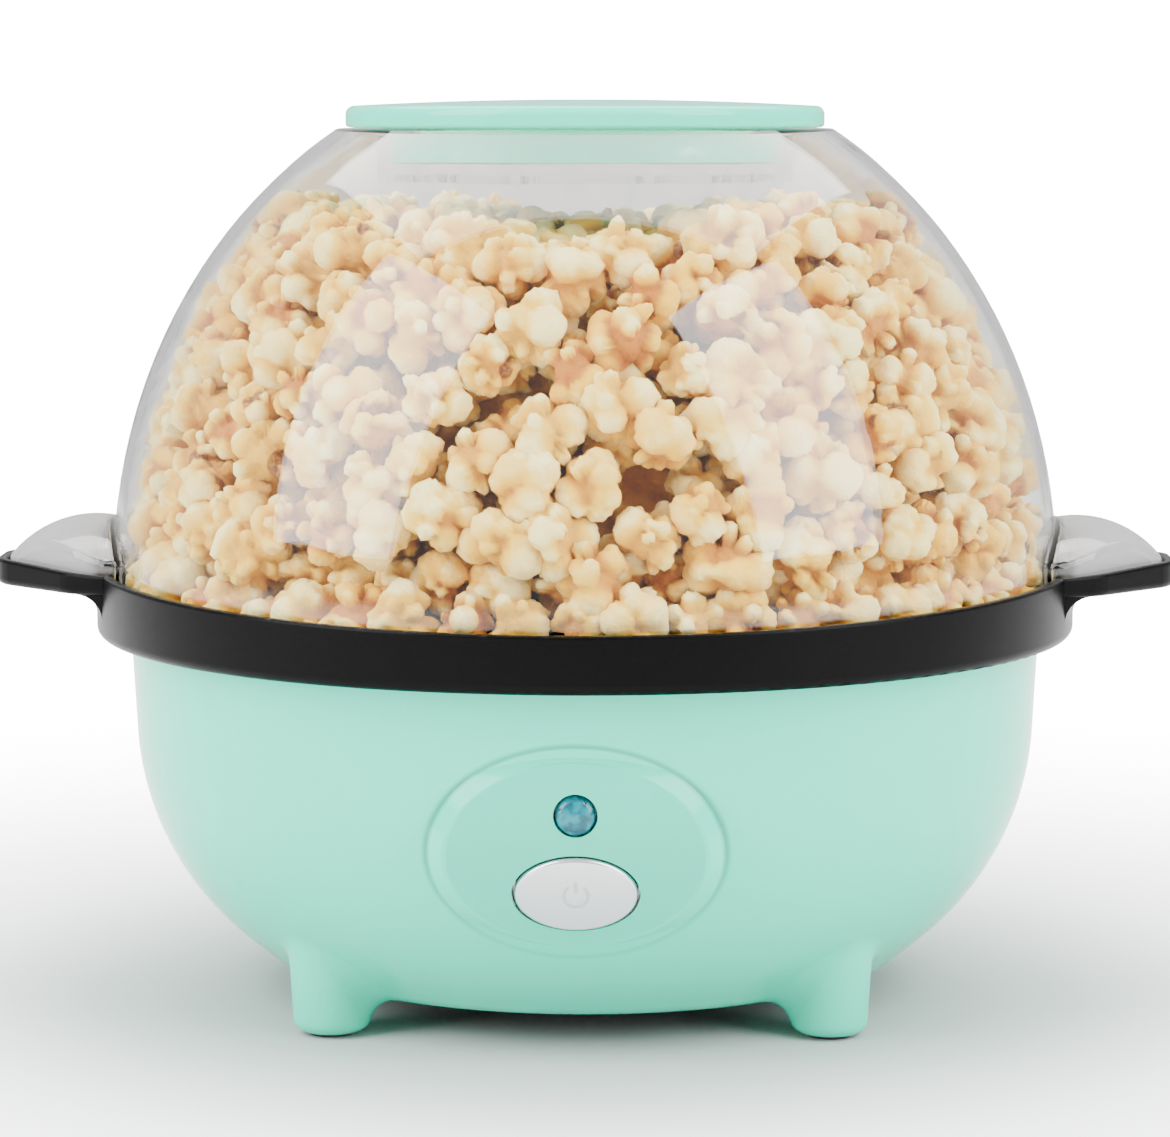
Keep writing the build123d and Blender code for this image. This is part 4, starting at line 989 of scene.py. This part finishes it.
@dataclass
class Popcorn(SubAssembly):
    """The popped corn that fills the bowl, heaped against its wall."""

    wall_radius: float = 0.1148
    wall_height: float = 0.1266
    level: float = 0.104
    floor: float = 0.1050
    skirt_floor: float = 0.0985
    stirrer_radius: float = 0.0905
    top: float = 0.1985
    flake_size: float = 0.0098
    spacing: float = 0.0112
    seed: int = 7
    tries: int = 9000
    heap: float = 0.1850
    side_rise: float = 0.0080
    side_reach: float = 0.075
    wall_top: float = 0.190
    core_top: float = 0.1780
    kernel: float = 0.46
    sharpness: float = 48.0
    shown_batch: int = 110
    hidden_batch: int = 300

    def inner_radius(self, z: np.ndarray, inset: float = 0.0) -> np.ndarray:
        """Radius of the bowl's inside, less an inset: a quarter ellipse above its widest level.

        Args:
            z: Levels.
            inset: How far inside the wall.

        Returns:
            The radius at each level.
        """
        height = self.wall_height - inset
        share = np.clip((z - self.level) / height, 0, 0.9999)
        return (self.wall_radius - inset) * np.sqrt(1 - share ** 2)

    def heap_level(self, x: np.ndarray, y: np.ndarray) -> np.ndarray:
        """Top of the heap: level, raised towards both sides, with slow waves.

        Args:
            x: Places across the bowl.
            y: Places along the bowl.

        Returns:
            The heap's level at each place.
        """
        waves = 0.0025 * np.sin(70 * x + 1.3) * np.cos(60 * y - 0.4)
        return self.heap + self.side_rise * np.clip(np.abs(x) / self.side_reach, 0, 1) ** 1.5 + waves

    def spread(self, rng: np.random.Generator, candidates: np.ndarray, taken: np.ndarray,
               gap: float) -> np.ndarray:
        """Keeps the candidates that are no nearer than the gap to one that is kept already.

        Args:
            rng: Source of the small changes of the gap.
            candidates: Places to try, in order.
            taken: Places already kept.
            gap: Least distance.

        Returns:
            All places kept, old and new.
        """
        kept = np.empty((len(taken) + len(candidates), 3))
        kept[:len(taken)] = taken
        count = len(taken)
        gaps = gap * rng.uniform(0.9, 1.12, len(candidates))
        for place, least in zip(candidates, gaps):
            if count == 0 or np.min(np.sum((kept[:count] - place) ** 2, axis=1)) > least ** 2:
                kept[count] = place
                count += 1
        return kept[:count]

    def foot(self, rng: np.random.Generator) -> np.ndarray:
        """Middles of the lowest flakes: two even rings just inside the foot of the wall.

        Args:
            rng: Source of small changes of place.

        Returns:
            The middles.
        """
        rings = []
        for level, inset in ((0.1035, 0.9), (0.1110, 1.9)):
            radius = self.wall_radius - inset * self.flake_size
            count = int(2 * math.pi * radius / (1.14 * self.spacing))
            turn = np.arange(count) * 2 * math.pi / count + rng.uniform(-0.012, 0.012, count)
            z = level + rng.uniform(-0.0012, 0.0012, count)
            rings.append(around(radius, turn, z))
        return np.vstack(rings)

    def places(self, rng: np.random.Generator) -> tuple[np.ndarray, np.ndarray]:
        """Chooses the flakes' middles: against the wall, over the top, and a layer behind.

        Args:
            rng: Source of the places.

        Returns:
            The middles of the flakes that show, and of those behind them.
        """
        size = self.flake_size
        count = self.tries
        z = rng.uniform(self.skirt_floor + 0.2 * size, self.wall_top, count)
        turn = rng.uniform(0, 2 * math.pi, count)
        radius = self.inner_radius(z, 0.92 * size + rng.uniform(0, 0.0012, count))
        wall = around(radius, turn, z)
        wall = wall[wall[:, 2] < self.heap_level(wall[:, 0], wall[:, 1])]
        foot = self.foot(rng)
        shown = self.spread(rng, np.vstack([foot, wall]), np.empty((0, 3)), self.spacing)
        reach = self.inner_radius(np.full(count, 0.18), 1.2 * size) * np.sqrt(rng.uniform(0, 1, count))
        cover = around(reach, turn, z)
        cover[:, 2] = self.heap_level(cover[:, 0], cover[:, 1]) - rng.uniform(0, 0.004, count)
        shown = self.spread(rng, cover, shown, self.spacing)
        radius = self.inner_radius(z, 2.1 * size)
        inner = around(radius, turn, z)
        inner = inner[(inner[:, 2] < self.heap_level(inner[:, 0], inner[:, 1]) - size)
                      & (inner[:, 2] > self.floor + 0.8 * size)]
        under = cover - [0, 0, 1.4 * size]
        everything = self.spread(rng, np.vstack([inner, under]), shown, self.spacing)
        return shown, everything[len(shown):]

    def flakes(self, rng: np.random.Generator, middles: np.ndarray, rows: int,
               columns: int) -> tuple[np.ndarray, np.ndarray, dict[str, np.ndarray]]:
        """Shapes one flake round each middle.

        A flake's radius in a direction is the largest reach of its lobes, which are balls
        set round a core: the distance along the direction to where it leaves each ball.
        Small waves roughen it. What would pass through the bowl is pressed flat against it.

        Args:
            rng: Source of the lobes.
            middles: The flakes' middles.
            rows: Rings of each flake.
            columns: Points on each ring.

        Returns:
            Points, triangles, and the crease, tone and hull marks.
        """
        rays, faces = ball_grid(rows, columns)
        amount, main, small = len(middles), 7, 17
        lobes = rng.normal(size=(amount, main + small, 3))
        lobes /= np.linalg.norm(lobes, axis=2, keepdims=True)
        away = np.concatenate([rng.uniform(0.42, 0.60, (amount, main)),
                               rng.uniform(0.55, 0.76, (amount, small))], 1)
        size = np.concatenate([rng.uniform(0.30, 0.46, (amount, main)),
                               rng.uniform(0.15, 0.23, (amount, small))], 1)
        along = np.einsum("vk,alk->alv", rays, lobes) * away[:, :, None]
        inside = size[:, :, None] ** 2 - away[:, :, None] ** 2 + along ** 2
        reach = np.where((inside > 0) & (along > 0), along + np.sqrt(np.clip(inside, 0, None)), 0)
        sharp = self.sharpness
        radius = np.log(np.exp(sharp * reach).sum(1) + math.exp(sharp * self.kernel)) / sharp
        phase = rng.uniform(0, 6.28, (amount, 3, 1))
        for order, depth in ((8.0, 0.045), (15.0, 0.028), (26.0, 0.014)):
            turned = rays @ rng.normal(size=(3, 3))
            radius *= 1 + depth * np.sin(order * turned[:, 0] + phase[:, 0]) * np.sin(
                order * turned[:, 1] + phase[:, 1])
        # crease: depth towards the core, which the corn finish turns into butter, browning and painted shade
        crease = 1 - np.clip((radius - self.kernel) / 0.5, 0, 1)
        scale = self.flake_size * rng.uniform(0.82, 1.14, (amount, 1, 1))
        local = rays[None] * radius[:, :, None] * scale
        points = local + middles[:, None, :]
        hull_way = rng.normal(size=(amount, 3))
        hull_way /= np.linalg.norm(hull_way, axis=1, keepdims=True)
        hull = smoothstep(0.55, 0.95, rays @ hull_way.T).T * smoothstep(0.25, 0.7, crease)
        hull *= rng.uniform(size=(amount, 1)) < 0.7
        tone = np.repeat(rng.uniform(0, 1, (amount, 1)), len(rays), 1)
        points = self.pressed(points.reshape(-1, 3))
        shift = (np.arange(amount) * len(rays))[:, None, None]
        marks = {"crease": crease.ravel(), "tone": tone.ravel(), "hull": hull.ravel()}
        return points, (faces[None] + shift).reshape(-1, 3), marks

    def pressed(self, points: np.ndarray) -> np.ndarray:
        """Moves points that would leave the popcorn's room back to its edge.

        Args:
            points: Points of the flakes.

        Returns:
            The points, all inside the bowl, above the stirrer and under the vent well.
        """
        low = np.where(np.hypot(points[:, 0], points[:, 1]) < self.stirrer_radius, self.floor, self.skirt_floor)
        points[:, 2] = np.clip(points[:, 2], low, self.top)
        radius = np.hypot(points[:, 0], points[:, 1])
        room = self.inner_radius(points[:, 2], 0.0006)
        points[:, :2] *= np.where(radius > room, room / np.maximum(radius, 1e-9), 1.0)[:, None]
        return points

    def core(self, rng: np.random.Generator) -> bpy.types.Object:
        """The crowded middle of the heap, of which only the gaps between flakes show.

        It follows the bowl at a few flakes' depth up to under the heap's top, and waves of
        about a flake's size make it lumpy. It closes flat over the pan. Its high crease mark paints
        the shade of the gaps onto it, darker in the hollows of the waves.

        Args:
            rng: Source of the waves' directions.

        Returns:
            The middle of the heap.
        """
        rays, faces = ball_grid(90, 200)
        low, high = self.floor + 0.0015, self.core_top
        z = low + (high - low) * (rays[:, 2] + 1) / 2
        share = np.sqrt(np.clip(1 - rays[:, 2] ** 24, 0, 1))
        radius = self.inner_radius(z, 2.9 * self.flake_size) * share
        turn = np.arctan2(rays[:, 1], rays[:, 0])
        points = around(radius, turn, z)
        waves = np.zeros(len(points))
        for order in (330.0, 520.0, 900.0):
            turned = points @ np.linalg.qr(rng.normal(size=(3, 3)))[0]
            waves += np.prod(np.sin(order * turned), axis=1) * 260.0 / order
        points[:, :2] *= (1 + 0.05 * waves * share)[:, None]
        # A high crease mark paints shade on the middle, which shows only in the gaps between flakes; the waves'
        # hollows get more
        marks = {"crease": 0.72 - 0.25 * waves, "tone": np.full(len(points), 0.8),
                 "hull": np.zeros(len(points))}
        return piece_from("popcorn_middle", self.pressed(points), faces, marks=marks)

    def build(self) -> list[bpy.types.Object]:
        """Builds the heap in batches of flakes.

        Returns:
            The batches.
        """
        rng = np.random.default_rng(self.seed)
        shown, behind = self.places(rng)
        self.batches = [self.core(rng)]
        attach(self.batches[0], "base")
        order = np.argsort(shown[:, 1])
        front = np.array_split(shown[order], math.ceil(len(shown) / self.shown_batch))
        back = np.array_split(behind, max(1, math.ceil(len(behind) / self.hidden_batch)))
        groups = [(part, 24, 34) for part in front] + [(part, 14, 20) for part in back]
        for number, (middles, rows, columns) in enumerate(groups, 1):
            points, faces, marks = self.flakes(rng, middles, rows, columns)
            batch = piece_from(f"popcorn_{number}", points, faces, marks=marks)
            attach(batch, "base")
            self.batches.append(batch)
        LOG.info("popcorn: %d flakes shown, %d behind", len(shown), len(behind))
        return self.batches

    def dress(self) -> None:
        """Gives the flakes their finish."""
        Finishes.CORN.dress(*self.batches)


# Studio
@dataclass
class Softbox:
    """A soft rectangular lamp that faces a point of the object."""

    name: str
    turn: float
    distance: float
    height: float
    width: float
    tall: float
    power: float
    aim: float = 0.11

    def build(self) -> None:
        """Places the lamp round the object and turns it to the aim point."""
        lamp = bpy.data.lights.new(self.name, "AREA")
        lamp.shape, lamp.size, lamp.size_y, lamp.energy = "RECTANGLE", self.width, self.tall, self.power
        box = bpy.data.objects.new(self.name, lamp)
        bpy.context.scene.collection.objects.link(box)
        angle = math.radians(self.turn)
        box.location = (self.distance * math.sin(angle), -self.distance * math.cos(angle), self.height)
        away = Vector((0, 0, self.aim)) - box.location
        box.rotation_euler = away.to_track_quat("-Z", "Y").to_euler()


@dataclass
class Studio:
    """The pale floor, the soft lamps and the camera."""

    distance: float = 1.0
    height: float = 0.2201
    turn: float = 1.1
    pitch: float = 6.59
    lens: float = 124.05
    air: float = 0.7
    bend: float = 1.2
    floor_front: float = -4.0
    floor_back: float = 2.4
    wall_top: float = 5.0
    half_width: float = 6.0

    def floor(self) -> None:
        """Builds a paper sweep: flat, then a quarter circle up, then upright, carried along X."""
        bend, back = self.bend, self.floor_back
        arc = np.linspace(0, math.pi / 2, 25)
        y = np.concatenate([[self.floor_front], back + bend * np.sin(arc), [back + bend]])
        z = np.concatenate([[0.0], bend * (1 - np.cos(arc)), [self.wall_top]])
        x = np.array([-self.half_width, self.half_width])
        xx, yy = np.meshgrid(x, y, indexing="ij")
        points = np.stack([xx, yy, np.broadcast_to(z, xx.shape)], -1).reshape(-1, 3)
        sweep = piece_from("studio_sweep", points, grid_faces(2, len(y)))
        sweep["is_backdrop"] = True
        Finishes.PAPER.dress(sweep)

    def lights(self) -> None:
        """Builds the soft lamps and the even light round them."""
        world = bpy.data.worlds.new("studio_air")
        bpy.context.scene.world = world
        world.use_nodes = True
        background = world.node_tree.nodes["Background"]
        background.inputs["Color"].default_value = (1.0, 1.0, 1.0, 1.0)
        background.inputs["Strength"].default_value = self.air
        Softbox("left_softbox", -60, 1.25, 0.85, 0.9, 1.4, 50.0).build()
        Softbox("right_softbox", 58, 1.25, 0.85, 0.9, 1.4, 47.0).build()
        Softbox("top_softbox", 180, 0.45, 1.45, 2.0, 1.5, 62.0, 0.1).build()

    def camera(self) -> None:
        """Builds the camera at the viewing angle."""
        data = bpy.data.cameras.new("camera")
        data.lens, data.sensor_width = self.lens, 36.0
        data.clip_start, data.clip_end = 0.05, 50.0
        camera = bpy.data.objects.new("camera", data)
        bpy.context.scene.collection.objects.link(camera)
        angle = math.radians(self.turn)
        camera.location = (self.distance * math.sin(angle), -self.distance * math.cos(angle), self.height)
        camera.rotation_euler = (math.radians(90 - self.pitch), 0, angle)
        bpy.context.scene.camera = camera

    def build(self) -> None:
        """Builds the whole studio."""
        self.floor()
        self.lights()
        self.camera()


def corners() -> list[list[float]]:
    """Gives the shown object's corners as plain lists.

    Returns:
        The lowest and the highest corner.
    """
    return [[float(value) for value in corner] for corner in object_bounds()]


def main() -> None:
    """Builds and dresses every sub-assembly, then the studio."""
    logging.basicConfig(level=logging.INFO, format="%(name)s: %(message)s")
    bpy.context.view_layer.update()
    for part in (Housing(), Collar(), Bowl(), ControlPanel(), Heater(), Drive(), Popcorn()):
        made = part.build()
        part.dress()
        LOG.info("%s: %s", type(part).__name__, ", ".join(piece.name for piece in made) or "frame nodes only")
    Studio().build()
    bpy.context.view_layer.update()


if __name__ == "__main__":
    main()
